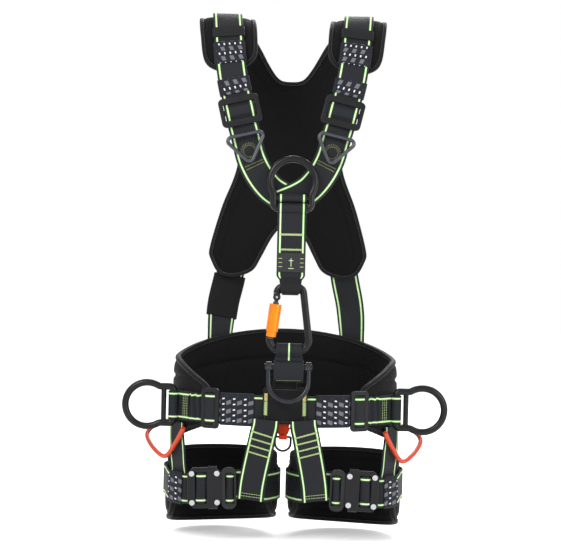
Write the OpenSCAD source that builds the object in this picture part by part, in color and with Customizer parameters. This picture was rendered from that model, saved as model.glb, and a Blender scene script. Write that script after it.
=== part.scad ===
// Full-body tree climbing saddle: padded belt and leg loops, X-shaped back pad, shoulder straps,
// ring hardware and the locking carabiner that joins chest and belt.
// The wearer faces -Y, their left is +X, +Z is up. Origin: centre of the waist opening.

/* [Webbing] */
// Width of the load-bearing webbing
web_w = 45; // [42:0.5:46]
// Thickness of one layer of webbing
web_t = 2.4; // [2:0.1:2.6]
// Wall of the elastic keepers
keeper_t = 1.2; // [0.8:0.1:1.4]

/* [Belt] */
// Half width of the belt pad, side to side
belt_a = 173; // [170:1:176]
// Half depth of the belt pad, front to back
belt_b = 125; // [123:1:127]
// Thickness of the belt pad
belt_pad_t = 13; // [10:0.5:14]

/* [Leg loops] */
// Distance from the middle to the centre of a leg loop
leg_x = 94; // [93:1:97]
// Half width of a leg loop
leg_a = 87; // [85:1:88]
// Half depth of a leg loop
leg_b = 84; // [82:1:86]
// Thickness of the leg pads
leg_pad_t = 12; // [9:0.5:13]

/* [Back and shoulders] */
// Thickness of the back pad at its middle
back_pad_t = 12; // [9:0.5:13]
// Thickness of the shoulder pads
shoulder_pad_t = 11; // [9:0.5:12]

/* [Rings] */
// Rod of the forged attachment rings
ring_rod = 10.5; // [9:0.5:11]
// Radius of a ring's round bow, at the middle of the rod
ring_bow = 33; // [32:0.5:34]
// Rod of the grey front ring
ventral_rod = 7.5; // [6.5:0.5:8]
// Rod of the triangle rings
triangle_rod = 5.5; // [5:0.5:6]

/* [Carabiner] */
// Rod of the carabiner's body
carabiner_rod = 10.5; // [9.5:0.5:11]
// Outer diameter of the locking sleeve
sleeve_d = 17.5; // [16:0.5:18]

/* [Hidden] */

black_pad = [0.07, 0.07, 0.08];
charcoal = [0.17, 0.18, 0.21];
keeper_blue = [0.10, 0.11, 0.16];
black_steel = [0.09, 0.09, 0.10];
grey_steel = [0.42, 0.44, 0.46];
bright_steel = [0.80, 0.80, 0.80];
orange = [0.90, 0.50, 0.10];
red_orange = [0.86, 0.30, 0.10];

left = 1;
right = -1;
gap = 0.4;              // air left between soft pieces that touch on the real saddle
soft_gap = 0.9;         // and between curved pads and the webbing round them
up = [0, 0, 1];
side_x = [1, 0, 0];
round_fn = 48;

// ---- Sweeps ----

function unit(v) = v / norm(v);

// Catmull-Rom point at fraction f of the stretch that starts at control point i
function spline_point(p, i, f) =
    let (a = p[max(i - 1, 0)], b = p[i], c = p[i + 1], d = p[min(i + 2, len(p) - 1)])
    b + (c - a) * f / 2 + (2 * a - 5 * b + 4 * c - d) * f * f / 2
      + (3 * (b - c) + d - a) * f * f * f / 2;

function spline(p, n) =
    [for (i = [0:len(p) - 2], k = [0:n - 1]) spline_point(p, i, k / n), p[len(p) - 1]];

function tangent(p, i) = unit(p[min(i + 1, len(p) - 1)] - p[max(i - 1, 0)]);

// One value repeated, or the list as it is
function spread(v, count) = is_list(v) && is_list(v[0]) ? v : [for (i = [1:count]) v];
function spread_numbers(v, count) = is_list(v) ? v : [for (i = [1:count]) v];

// Corners of a strap's section, or of a pad's with its edges taken off
function section(w, t, edge) =
    edge == 0
    ? [[-w / 2, -t / 2], [w / 2, -t / 2], [w / 2, t / 2], [-w / 2, t / 2]]
    : [[-w / 2 + edge, -t / 2], [w / 2 - edge, -t / 2], [w / 2, -t / 5], [w / 2, t / 5],
       [w / 2 - edge, t / 2], [-w / 2 + edge, t / 2], [-w / 2, t / 5], [-w / 2, -t / 5]];

// Points of a section carried along a path: across is its width direction, and the outward
// normal is the path's direction crossed with it
function swept(path, across, w, t, edge, off) =
    [for (i = [0:len(path) - 1])
        let (ahead = tangent(path, i),
             wide = unit(across[i] - (across[i] * ahead) * ahead),
             out = cross(ahead, wide))
        for (s = section(w[i], t, edge)) path[i] - s[0] * wide + (s[1] + off) * out];

function wall_faces(k, m, start = 0, inside = false) =
    [for (i = [0:k - 2], j = [0:m - 1])
        let (a = start + i * m + j, b = start + i * m + (j + 1) % m)
        each inside ? [[a, b + m, b], [a, a + m, b + m]] : [[a, b, b + m], [a, b + m, a + m]]];

function cap_faces(k, m) = concat(
    [for (j = [1:m - 2]) [0, j + 1, j]],
    [for (j = [1:m - 2]) [(k - 1) * m, (k - 1) * m + j, (k - 1) * m + j + 1]]);

// Flat strap or pad along a path; across and width are one value or one per control point
module ribbon(points, across, width, t = web_t, edge = 0, off = 0, n = 5) {
    path = spline(points, n);
    wide = spline(spread(across, len(points)), n);
    widths = spline(spread_numbers(width, len(points)), n);
    m = edge == 0 ? 4 : 8;
    polyhedron(swept(path, wide, widths, t, edge, off),
               concat(wall_faces(len(path), m), cap_faces(len(path), m)));
}

// Elastic band round a strap: a tube of rectangular section along the strap's own path
module band(points, across, width, t, wall = keeper_t, off = 0, n = 3) {
    path = spline(points, n);
    k = len(path);
    wide = spline(spread(across, len(points)), n);
    inner_w = spread_numbers(width, k);
    outer_w = spread_numbers(width + 2 * wall, k);
    polyhedron(
        concat(swept(path, wide, outer_w, t + 2 * wall, 0, off),
               swept(path, wide, inner_w, t, 0, off)),
        concat(wall_faces(k, 4), wall_faces(k, 4, 4 * k, true),
               [for (j = [0:3]) each [[j, 4 * k + j, 4 * k + (j + 1) % 4],
                                      [j, 4 * k + (j + 1) % 4, (j + 1) % 4]]],
               [for (j = [0:3]) let (a = 4 * (k - 1) + j, b = 4 * (k - 1) + (j + 1) % 4)
                   each [[a, b, b + 4 * k], [a, b + 4 * k, a + 4 * k]]]));
}

// Round tube along a path
module tube(points, d, sides = 10, n = 5) {
    path = spline(points, n);
    k = len(path);
    polyhedron(
        [for (i = [0:k - 1])
            let (ahead = tangent(path, i), wide = unit(cross(ahead, up)), high = cross(ahead, wide))
            for (j = [0:sides - 1])
                path[i] + d / 2 * (cos(360 * j / sides) * wide - sin(360 * j / sides) * high)],
        concat(wall_faces(k, sides), cap_faces(k, sides)));
}

// Rod bent in the XY plane. A step is [0, length] or [radius, turn], left turns positive
module bent_rod(d, steps, i = 0) {
    if (i < len(steps)) {
        r = steps[i][0];
        amount = steps[i][1];
        if (r == 0) {
            rotate([0, 90, 0]) cylinder(h = amount, d = d, $fn = round_fn);
            translate([amount, 0, 0]) bent_rod(d, steps, i + 1);
        } else {
            flip = amount > 0 ? 0 : 1;
            turn = abs(amount);
            mirror([0, flip, 0]) translate([0, r, 0]) rotate([0, 0, -90])
                rotate_extrude(angle = turn, $fn = round_fn) translate([r, 0])
                    circle(d = d, $fn = round_fn);
            translate([r * sin(turn), (flip == 1 ? -1 : 1) * r * (1 - cos(turn)), 0])
                rotate([0, 0, amount]) bent_rod(d, steps, i + 1);
        }
    }
}

// Points along such a bent rod, as a list in the XY plane
function trace(steps, p, heading, i = 0) =
    i == len(steps) ? [p] :
    let (r = steps[i][0], amount = steps[i][1], s = sign(amount), k = ceil(abs(amount) / 14),
         c = p + r * s * [-sin(heading), cos(heading)])
    r == 0
    ? concat([p], trace(steps, p + amount * [cos(heading), sin(heading)], heading, i + 1))
    : concat([for (j = [0:k - 1]) c + r * s * [sin(heading + amount * j / k),
                                               -cos(heading + amount * j / k)]],
             trace(steps, c + r * s * [sin(heading + amount), -cos(heading + amount)],
                   heading + amount, i + 1));

// Rod along a flat path; a closed one joins its last ring to its first
module swept_rod(path, d, closed = false, sides = 12) {
    k = len(path);
    ahead = [for (i = [0:k - 1]) closed ? unit(path[(i + 1) % k] - path[(i + k - 1) % k])
                                        : tangent(path, i)];
    rings = [for (i = [0:k - 1], j = [0:sides - 1]) let (a = 360 * j / sides)
        [path[i][0] + d / 2 * cos(a) * ahead[i][1], path[i][1] - d / 2 * cos(a) * ahead[i][0],
         d / 2 * sin(a)]];
    last = (k - 1) * sides;
    polyhedron(rings, concat(wall_faces(k, sides), closed
        ? [for (j = [0:sides - 1]) let (a = last + j, b = last + (j + 1) % sides)
            each [[a, b, (j + 1) % sides], [a, (j + 1) % sides, j]]]
        : cap_faces(k, sides)));
}

module mirrored(side) mirror([side == right ? 1 : 0, 0, 0]) children();

// ---- Belt ----

belt_web_a = belt_a + soft_gap + web_t / 2;
belt_web_b = belt_b + soft_gap + web_t / 2;
function belt_point(t, off = 0, z = 0) =
    let (n = unit([cos(t) / belt_web_a, sin(t) / belt_web_b, 0]))
    [belt_web_a * cos(t), belt_web_b * sin(t), z] + off * n;
pad_tip = -50;                 // angle of the belt pad's front tip on the wearer's left
pad_sweep = 180 - 2 * pad_tip;
belt_edge_side = 72;           // height of the pad's upper edge at the hips
belt_edge_back = 112;          // and at the back
function lift(t) = max(0, sin(t));
function tip_drop(t) = pow(max(0, -sin(t)) / sin(-pad_tip), 2);
function belt_top(t) = belt_edge_side + (belt_edge_back - belt_edge_side) * pow(lift(t), 1.5)
    - 42 * tip_drop(t);
function belt_bottom(t) = -50 + 17 * pow(lift(t), 2) + 27 * tip_drop(t);

module belt_pad() {
    turns = [for (i = [0:40]) pad_tip + pad_sweep * i / 40];
    points = [for (t = turns) belt_point(t, -web_t / 2 - soft_gap - belt_pad_t / 2,
                                         (belt_top(t) + belt_bottom(t)) / 2)];
    widths = [for (t = turns) belt_top(t) - belt_bottom(t)];
    color(black_pad) ribbon(points, up, widths, belt_pad_t, edge = 5, n = 1);
}

front_gap_angle = 4;
module belt_webbing() {
    turns = [for (i = [0:56]) -90 + front_gap_angle + (360 - 2 * front_gap_angle) * i / 56];
    color(charcoal) ribbon([for (t = turns) belt_point(t)], up, web_w, n = 1);
}

keeper_from = -75;
keeper_to = -57;
module belt_keepers() color(keeper_blue) for (side = [left, right]) mirrored(side)
    band([for (i = [0:4]) belt_point(keeper_from + (keeper_to - keeper_from) * i / 4)], up,
         web_w + 2 * gap, web_t + 2 * gap, n = 1);

// Flat buckle plate in the XY plane, thickness along Z, with two slots beside its middle bar
module slotted_plate(w, h, t, corner, bar, slot_w, slot_h)
    translate([0, 0, -t / 2]) linear_extrude(t) difference() {
        rounded(w, h, corner);
        for (s = [-1, 1]) translate([0, s * (bar + slot_h) / 2]) rounded(slot_w, slot_h, 1.5);
    }
module rounded(w, h, r) {
    square([w - 2 * r, h], center = true);
    square([w, h - 2 * r], center = true);
    for (x = [-1, 1], y = [-1, 1]) translate([x * (w / 2 - r), y * (h / 2 - r)])
        circle(r, $fn = round_fn);
}

adjuster_angle = -51.5;
adjuster_t = 3.5;
module belt_adjuster(side) mirrored(side)
    translate(belt_point(adjuster_angle, web_t / 2 + gap + adjuster_t / 2))
    rotate([90, 0, adjuster_angle + 90 - 8]) color(black_steel) rotate([0, 0, 90])
        slotted_plate(60, 31, adjuster_t, 6, 5, 47, 6);
module belt_adjuster_left() belt_adjuster(left);
module belt_adjuster_right() belt_adjuster(right);

hub_y = -belt_web_b - web_t / 2 - gap;
hub_t = 2.4;
hub_w = 66;
module hub_patch() color(black_pad) translate([0, hub_y - hub_t / 2, 0]) rotate([90, 0, 0])
    translate([0, 0, -hub_t / 2]) linear_extrude(hub_t) union() {
        translate([0, 8]) rounded(hub_w, 54, 6);
        translate([0, 42]) rounded(40, 26, 3);
    }

// ---- Attachment rings ----

ring_arm = 27.5;               // half distance between a ring's arms
ring_fillet = 10;
ring_corner = 7;
ring_flare = asin(sqrt(pow(ring_bow + ring_fillet, 2) - pow(ring_arm + ring_fillet, 2))
                  / (ring_bow + ring_fillet));
ring_flare_x = 19;             // where the arms start to spread, from the hinge bar
ring_cross_x = 15;             // where the second bar is
// Ring in the XY plane, its hinge bar along Y through the origin, its bow towards +X
module attachment_ring() color(black_steel) {
    translate([0, -ring_arm + ring_corner, 0]) rotate([0, 0, 90]) bent_rod(ring_rod, [
        [0, 2 * (ring_arm - ring_corner)], [ring_corner, -90], [0, ring_flare_x - ring_corner],
        [ring_fillet, ring_flare], [ring_bow, -180 - 2 * ring_flare], [ring_fillet, ring_flare],
        [0, ring_flare_x - ring_corner], [ring_corner, -90]]);
    translate([ring_cross_x, 0, 0]) rotate([90, 0, 0])
        cylinder(h = 2 * ring_arm, d = ring_rod - 2.5, center = true, $fn = round_fn);
}

loop_wall = 2.2;
loop_play = 0.55;
loop_r = ring_rod / 2 + loop_play + loop_wall;
side_hinge_angle = -24;
side_hinge = belt_point(side_hinge_angle, web_t / 2 + gap + loop_r);
module side_ring(side) mirrored(side) translate(side_hinge) rotate([90, 0, 0]) attachment_ring();
module side_ring_left() side_ring(left);
module side_ring_right() side_ring(right);
module ring_loops() color(charcoal) for (side = [left, right]) mirrored(side)
    translate(side_hinge) difference() {
        cylinder(h = web_w - 2, r = loop_r, center = true, $fn = round_fn);
        cylinder(h = web_w, r = loop_r - loop_wall, center = true, $fn = round_fn);
    }

// ---- Chest and front link, all hung in one plane in front of the belt ----

front_y = -138;
chest_x = 4;
sternal_z = 297;
carabiner_z = 183;
ventral_z = 66;

sternal_lean = 5;              // leans back on the crossing straps
module at_sternal_hinge() translate([chest_x, front_y, sternal_z]) rotate([-sternal_lean, 0, 0])
    children();
module sternal_ring() at_sternal_hinge() rotate([0, -90, 90]) attachment_ring();
wrap_play = 0.1;
module ring_wrap() color(charcoal) at_sternal_hinge()
    translate([0, 0, ring_cross_x]) rotate([0, 90, 0]) difference() {
        cylinder(h = web_w - 3, d = ring_rod - 2.5 + 2 * (wrap_play + 2), center = true,
                 $fn = round_fn);
        cylinder(h = web_w, d = ring_rod - 2.5 + 2 * wrap_play, center = true, $fn = round_fn);
    }

// Strap end sewn into a loop, seen from its edge and given its width along X
module looped_end(z, r, to_z, t, w) rotate([90, 0, 90]) translate([0, 0, -w / 2])
    linear_extrude(w) difference() {
        union() {
            translate([0, z]) circle(r + loop_wall, $fn = round_fn);
            translate([-t / 2, min(z, to_z)]) square([t, abs(to_z - z)]);
        }
        translate([0, z]) circle(r, $fn = round_fn);
    }
doubled_t = 5;
bar_loop_r = carabiner_rod / 2 + 1.55;
bar_loop_shift = 1.4;          // the hole leaves room for the carabiner's rounded corners
chest_step_z = 206;
module chest_strap() color(charcoal) translate([chest_x, front_y, 0]) {
    looped_end(sternal_z, ring_rod / 2 + loop_play, chest_step_z, doubled_t, web_w - 3);
    looped_end(carabiner_z - bar_loop_shift, bar_loop_r, chest_step_z, doubled_t, 26);
}
label_t = 0.8;
module chest_label() color([0.35, 0.37, 0.36])
    translate([chest_x, front_y - 2.5 - gap / 2 - label_t / 2, 218])
        cube([42, label_t, 28], center = true);

// Carabiner in the XY plane: origin at the middle of its top bar, its long axis along -Y
top_half = 19.5;
top_corner = 10;
lean = 7.3;                    // how far the sides spread towards the bottom
bottom_corner = 14;
spine_len = 69;
nose_len = 1.4;
hinge_drop = 15.6;
bottom_x = 14.6;
gate_len = 62;
gate_d = 8.6;
cheek_d = 11;
cheek_t = 10.5;
slot_half = 2.4;
slot_top = 4.6;
pin_d = 3.2;
pin_play = 0.15;
bottom_y = -top_corner * (1 - sin(lean)) - spine_len * cos(lean) - bottom_corner * (1 + sin(lean));
module carabiner_plane() translate([chest_x, front_y, carabiner_z]) rotate([90, 0, 0]) children();
carabiner_path = trace([[top_corner, -90], [0, 2 * (top_half - top_corner)],
    [top_corner, -90 + lean], [0, spine_len], [bottom_corner, -90 - lean], [0, 2 * bottom_x],
    [bottom_corner, -90 - lean], [0, nose_len]], [-top_half, -top_corner], 90);
module carabiner_body() color(black_steel) carabiner_plane() {
    swept_rod(carabiner_path, carabiner_rod, sides = 14);
    difference() {
        fork_block();
        translate([-top_half - 10, -hinge_drop - 10, -slot_half])
            cube([20, 10 + slot_top, 2 * slot_half]);
        translate([-top_half, -hinge_drop, 0])
            cylinder(h = 20, d = pin_d, center = true, $fn = round_fn);
    }
}
// Fork at the top of the gate opening, with the pin's holes
module fork_block() translate([-top_half, -hinge_drop, -cheek_t / 2]) {
    cylinder(h = cheek_t, d = cheek_d, $fn = round_fn);
    translate([-cheek_d / 2 + 0.5, 0, 0])
        cube([cheek_d - 1, hinge_drop - top_corner - 0.02, cheek_t]);
}
module gate_axis() translate([-top_half, -hinge_drop, 0]) rotate([0, 0, -lean]) children();
module carabiner_gate() color(grey_steel) carabiner_plane() gate_axis() difference() {
    union() {
        cylinder(h = 4, d = 8, center = true, $fn = round_fn);
        translate([-3, -8, -2]) cube([6, 8, 4]);
        translate([0, -7.5, 0]) rotate([90, 0, 0])
            cylinder(h = gate_len - 7.5 - 2.5, d = gate_d, $fn = round_fn);
    }
    cylinder(h = 20, d = pin_d + 2 * pin_play, center = true, $fn = round_fn);
}
module gate_pin() color(bright_steel) carabiner_plane() translate([-top_half, -hinge_drop, 0])
    cylinder(h = cheek_t, d = pin_d, center = true, $fn = round_fn);
sleeve_from = 10.5;
sleeve_len = 48;
module locking_sleeve() color(orange) carabiner_plane() gate_axis()
    translate([0, -sleeve_from, 0]) rotate([90, 0, 0]) difference() {
        union() {
            cylinder(h = sleeve_len - 8, d = sleeve_d, $fn = round_fn);
            translate([0, 0, sleeve_len - 8]) cylinder(h = 8, d = sleeve_d - 3, $fn = round_fn);
            for (z = [4, 8, 12]) translate([0, 0, z]) cylinder(h = 1.5, d = sleeve_d + 0.8,
                                                               $fn = round_fn);
        }
        translate([0, 0, -1]) cylinder(h = sleeve_len + 2, d = gate_d + 0.8, $fn = round_fn);
    }

link_joint_z = 76;
module ventral_strap() color(charcoal) translate([chest_x, front_y, 0]) {
    looped_end(carabiner_z + bottom_y + bar_loop_shift, bar_loop_r, link_joint_z, doubled_t, 28);
    looped_end(ventral_z, ventral_rod / 2 + loop_play, link_joint_z, doubled_t, web_w - 3);
}

ventral_half = 29;
ventral_drop = 22;
ventral_lean = 12;
module ventral_ring() color(grey_steel) translate([chest_x, front_y, ventral_z])
    rotate([-90 - ventral_lean, 0, 0]) {
        rotate([0, 90, 0]) cylinder(h = 2 * ventral_half + 12, d = ventral_rod, center = true,
                                    $fn = round_fn);
        for (s = [-1, 1]) translate([s * ventral_half, 0, 0]) rotate([0, 90, 0])
            cylinder(h = 8, d = 14, center = true, $fn = round_fn);
        translate([ventral_half, 6, 0]) rotate([0, 0, 90]) bent_rod(ventral_rod, [
            [0, ventral_drop - 6], [ventral_half, 180], [0, ventral_drop - 6]]);
    }

// ---- Straps over the shoulders ----

strap_route = [[100.5, 82.5, 557], [101, 72, 572], [102, 44, 594], [102, 12, 601], [101, -20, 597],
               [98, -55, 572], [94, -84, 530], [88, -100, 490], [79, -108, 452], [74, -112, 432]];
strap_across = [side_x, side_x, side_x, side_x, side_x, [1, 0, -0.08], [1, 0, -0.12],
                [1, 0, -0.18], [1, 0, -0.22], [1, 0, -0.24]];
pad_under = web_t / 2 + 3.4 + shoulder_pad_t / 2;
function part_of(list, a, b) = [for (i = [a:b]) list[i]];
module shoulder_strap(side) color(charcoal) mirrored(side)
    ribbon(strap_route, strap_across, web_w);
module shoulder_strap_left() shoulder_strap(left);
module shoulder_strap_right() shoulder_strap(right);

module shoulder_pad(side) color(black_pad) mirrored(side)
    ribbon(concat([[101.5, 59, 584.5]], part_of(strap_route, 2, 6), [[91, -92, 508]]),
           concat([side_x], part_of(strap_across, 2, 7)), [78, 80, 82, 84, 84, 78, 52],
           shoulder_pad_t, edge = 4, off = -pad_under);
module shoulder_pad_left() shoulder_pad(left);
module shoulder_pad_right() shoulder_pad(right);

// Stretch of the front strap's route around one height, for the bands that lie on it
function along(route, from, to, step = 0.2) = [for (q = [from:step:to + 0.001])
    spline_point(route, floor(q + 0.001), q - floor(q + 0.001))];
module keeper_on_strap(from, to, wall) color(keeper_blue) for (side = [left, right]) mirrored(side)
    band(along(strap_route, from, to), along(strap_across, from, to), web_w + 2 * gap,
         web_t + 2 * gap, wall, n = 1);
module pad_keepers() keeper_on_strap(5, 5.4, 1.4);
module strap_keepers() {
    keeper_on_strap(5.6, 6.4, keeper_t);
    keeper_on_strap(7, 7.6, keeper_t);
}

adjuster_centre = [76, -115.5, 441];
strap_slant = 13.5;
strap_tip = 8;
module on_chest(centre, side) mirrored(side) translate(centre)
    rotate([90 - strap_tip, 0, 0]) rotate([0, 0, -strap_slant]) children();
module shoulder_adjuster(side) color(black_steel) on_chest(adjuster_centre, side)
    slotted_plate(60, 44, 3.2, 7, 7, 47, 9);
module shoulder_adjuster_left() shoulder_adjuster(left);
module shoulder_adjuster_right() shoulder_adjuster(right);

lower_route = [[73, -113, 426], [65, -116, 398], [58, -119, 372], [46, -122, 348],
               [30, -124, 328], [14, -125, 317]];
lower_across = [[1, 0, -0.25], [1, 0, -0.27], [1, 0, -0.3], [0.85, 0, -0.55], [0.6, 0, -0.8],
                [0.35, 0, -0.95]];
module lower_strap(side) color(charcoal) mirrored(side) ribbon(lower_route, lower_across, web_w);
module lower_strap_left() lower_strap(left);
module lower_strap_right() lower_strap(right);

triangle_centre = [68.5, -123.2, 405];
triangle_half = 20;
triangle_corner = 6;
triangle_base = 55;            // angle between the hinge bar and a side
triangle_base_cut = triangle_corner * tan(90 - triangle_base / 2);
triangle_side = (triangle_half + triangle_base_cut) / cos(triangle_base) - triangle_base_cut
    - triangle_corner * tan(triangle_base);
triangle_path = trace([[0, 2 * triangle_half], [triangle_corner, triangle_base - 180],
    [0, triangle_side], [triangle_corner, -2 * triangle_base], [0, triangle_side],
    [triangle_corner, triangle_base - 180]], [-triangle_half, 0], 0);
module triangle_ring(side) color(grey_steel) on_chest(triangle_centre, side)
    swept_rod(part_of(triangle_path, 0, len(triangle_path) - 2), triangle_rod, closed = true);
module triangle_ring_left() triangle_ring(left);
module triangle_ring_right() triangle_ring(right);

// ---- Back ----

function back_y(z) = 103 - 12 * pow(max(0, (z - 300) / 200), 2) - 14 * pow(max(0, (z - 500) / 60), 2);
// Half outline of the pad, row by row from its lobes to its shoulder arms, centre to edge
pad_rows = [
    [[0.2, 293], [26, 262], [44, 228], [58, 206], [88, 196], [112, 203], [127, 232]],
    [[0.2, 312], [28, 284], [48, 256], [66, 238], [88, 232], [108, 238], [122, 256]],
    [[0.2, 345], [26, 330], [48, 312], [66, 302], [82, 298], [97, 300], [107, 308]],
    [[0.2, 395], [18, 390], [36, 384], [52, 378], [66, 374], [76, 374], [83, 378]],
    [[0.2, 440], [18, 441], [36, 443], [52, 445], [66, 447], [78, 449], [88, 452]],
    [[0.2, 482], [20, 490], [40, 500], [58, 506], [76, 508], [92, 508], [106, 506]],
    [[0.2, 509], [22, 512], [44, 540], [62, 552], [84, 555], [108, 555], [128, 550]],
    [[19, 509], [32, 527], [46, 552], [61, 572], [84, 576], [112, 576], [139, 570]]];
pad_smooth = 2;
module back_pad_half() {
    fine_rows = [for (r = pad_rows) spline(r, pad_smooth)];
    columns = len(fine_rows[0]);
    grid = [for (s = [0:(len(fine_rows) - 1) * pad_smooth])
        [for (c = [0:columns - 1]) spline([for (r = fine_rows) r[c]], pad_smooth)[s]]];
    rows = len(grid);
    function rim(s, c) = s == 0 || s == rows - 1 || c == columns - 1;
    function thick(s, c) = rim(s, c) ? back_pad_t / 4 : back_pad_t / 2;
    count = rows * columns;
    front = [for (s = [0:rows - 1], c = [0:columns - 1]) let (p = grid[s][c])
        [p[0], back_y(p[1]) - thick(s, c), p[1]]];
    back = [for (s = [0:rows - 1], c = [0:columns - 1]) let (p = grid[s][c])
        [p[0], back_y(p[1]) + thick(s, c), p[1]]];
    edge = concat([for (c = [0:columns - 2]) c], [for (s = [0:rows - 2]) s * columns + columns - 1],
                  [for (c = [columns - 1:-1:1]) (rows - 1) * columns + c],
                  [for (s = [rows - 1:-1:1]) s * columns]);
    polyhedron(concat(front, back), concat(
        [for (s = [0:rows - 2], c = [0:columns - 2]) let (a = s * columns + c, d = a + columns)
            each [[a, d, a + 1], [a + 1, d, d + 1]]],
        [for (s = [0:rows - 2], c = [0:columns - 2])
            let (a = count + s * columns + c, d = a + columns)
            each [[a, a + 1, d], [a + 1, d + 1, d]]],
        [for (i = [0:len(edge) - 1]) let (a = edge[i], b = edge[(i + 1) % len(edge)])
            each [[a, b, count + b], [a, count + b, count + a]]]));
}
module back_pad() color(black_pad) for (side = [left, right]) mirrored(side) back_pad_half();

pad_face = back_pad_t / 2 + 2.2 + web_t / 2;
function on_pad(x, z, extra = 0) =
    [x, back_y(z) + pad_face + extra + 5 * pow(max(0, (z - 460) / 100), 2), z];
cross_off = web_t + 3;
// From the belt up the lobe, across the middle and over to the other shoulder arm
function back_route(extra) = concat(
    [belt_point(53, 2.4, 30), belt_point(53, 2.4, 100), [103, 117, 150]],
    [for (p = [[93, 198], [86, 250], [62, 320], [32, 375], [0, 425], [-36, 475], [-68, 520],
               [-92, 556]]) on_pad(p[0], p[1], extra)]);
back_across = concat([[0.85, -0.5, 0], [0.85, -0.5, 0], [0.95, -0.2, 0]],
    [[1, 0, 0.15], [0.95, 0, 0.25], [0.9, 0, 0.45], [0.8, 0, 0.55], [0.8, 0, 0.6],
     [0.8, 0, 0.6], [0.85, 0, 0.5], [0.95, 0, 0.3]]);
module back_strap(side, extra) color(charcoal) mirrored(side)
    ribbon(back_route(extra), back_across, web_w, n = 3);
module back_strap_left() back_strap(left, 0);
module back_strap_right() back_strap(right, cross_off);
module strap_sleeve() color(black_pad) mirrored(right)
    band(along(back_route(cross_off), 1.6, 3, 0.2), along(back_across, 1.6, 3, 0.2), web_w + 4,
         web_t + 3, n = 1);

dorsal_z = 425;
dorsal_y = back_y(dorsal_z) + pad_face + cross_off + 2 * web_t + 3;
module dorsal_plate() color(black_steel) translate([0, dorsal_y, dorsal_z]) rotate([90, 0, 0])
    slotted_plate(84, 62, 3, 9, 16, 56, 8);
module dorsal_ring() translate([0, dorsal_y + 9, dorsal_z + 8]) rotate([0, 90, 90])
    attachment_ring();

// ---- Leg loops ----

leg_centre_y = -10;
function leg_point(t, off, z) =
    let (n = unit([cos(t) / leg_a, sin(t) / leg_b, 0]))
    [leg_x + leg_a * cos(t), leg_centre_y + leg_b * sin(t), z] + off * n;
leg_from = -28;
leg_sweep = 236;
function leg_slope(t) = 5 * cos(t);
function leg_end(t) = pow(abs(2 * (t - leg_from) / leg_sweep - 1), 6);
function leg_top(t) = -72 - 22 * leg_end(t);
function leg_bottom(t) = -190 + 12 * (1 - max(0, sin(t))) - 4 * cos(t) + 18 * leg_end(t);
module leg_pad(side) {
    turns = [for (i = [0:28]) leg_from + leg_sweep * i / 28];
    points = [for (t = turns) leg_point(t, -leg_pad_t / 2, (leg_top(t) + leg_bottom(t)) / 2)];
    widths = [for (t = turns) leg_top(t) - leg_bottom(t)];
    color(black_pad) mirrored(side) ribbon(points, up, widths, leg_pad_t, edge = 4.5, n = 1);
}
module leg_pad_left() leg_pad(left);
module leg_pad_right() leg_pad(right);

leg_web_z = -118;
buckle_x = 117;
tongue_x = 80.5;
buckle_y = -96;
// Strap from the inner front, round the inside of the thigh and the back, to the buckle
leg_route = concat([[96, buckle_y + 6.6, leg_web_z + 2], [72, buckle_y + 6.6, leg_web_z + 4],
                    [48, -87, leg_web_z + 4]],
    [for (t = [222:-12:-18]) leg_point(t, soft_gap + web_t / 2, leg_web_z + leg_slope(t) / 2)],
    [[170, -66, leg_web_z - 3], [150, -86, leg_web_z - 4], [140, buckle_y + 6.6, leg_web_z - 4],
     [114, buckle_y + 6.6, leg_web_z - 3]]);
module leg_strap(side) color(charcoal) mirrored(side) ribbon(leg_route, up, web_w, n = 2);
module leg_strap_left() leg_strap(left);
module leg_strap_right() leg_strap(right);

// ---- Leg buckles ----

plate_t = 2.6;
body_w = 50;
body_h = 60;
body_cut = 8;
cavity_t = 4.6;
tongue_t = 3.4;
clip_x = -19;
clip_w = 13;
// Buckle in the XZ plane, its front face towards -Y; the tongue enters from the middle side
module at_buckle(side, x) mirrored(side) translate([x, buckle_y, leg_web_z - 1])
    rotate([90, 2, 0]) children();
module buckle_outline() polygon([for (i = [0:7]) let (sx = i < 2 || i > 5 ? -1 : 1,
    sy = i < 4 ? -1 : 1, cut = i == 1 || i == 2 || i == 5 || i == 6)
    [sx * (body_w / 2 - (cut ? body_cut : 0)), sy * (body_h / 2 - (cut ? 0 : body_cut))]]);
module buckle_body(side) color(black_steel) at_buckle(side, buckle_x) difference() {
    translate([0, 0, -cavity_t / 2 - plate_t]) linear_extrude(cavity_t + 2 * plate_t)
        buckle_outline();
    translate([-body_w / 2 - 1, -17, -cavity_t / 2]) cube([19.5, 34, cavity_t]);
    translate([clip_x - 0.5, -31, -cavity_t / 2]) cube([clip_w + 1, 62, cavity_t]);
    for (x = [-3.5, 9]) translate([x, -23, -10]) cube([4.5, 46, 20]);
}
module buckle_body_left() buckle_body(left);
module buckle_body_right() buckle_body(right);

module buckle_rivets() color(bright_steel) for (side = [left, right])
    at_buckle(side, buckle_x) for (x = [-19, 18.5], y = [-21.5, 21.5])
        translate([x, y, cavity_t / 2 + plate_t]) difference() {
            cylinder(h = 1.6, d = 8, $fn = round_fn);
            translate([0, 0, 0.8]) cylinder(h = 1, d = 4, $fn = round_fn);
        }

module buckle_tongue(side) color(black_steel) at_buckle(side, tongue_x) difference() {
    translate([0, 0, -tongue_t / 2]) linear_extrude(tongue_t) {
        rounded(22, 62, 9);
        translate([10, -13]) square([19, 26]);
    }
    for (x = [-5.8, 3.2]) translate([x - 2.2, -23, -5]) cube([4.4, 46, 10]);
}
module buckle_tongue_left() buckle_tongue(left);
module buckle_tongue_right() buckle_tongue(right);

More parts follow.
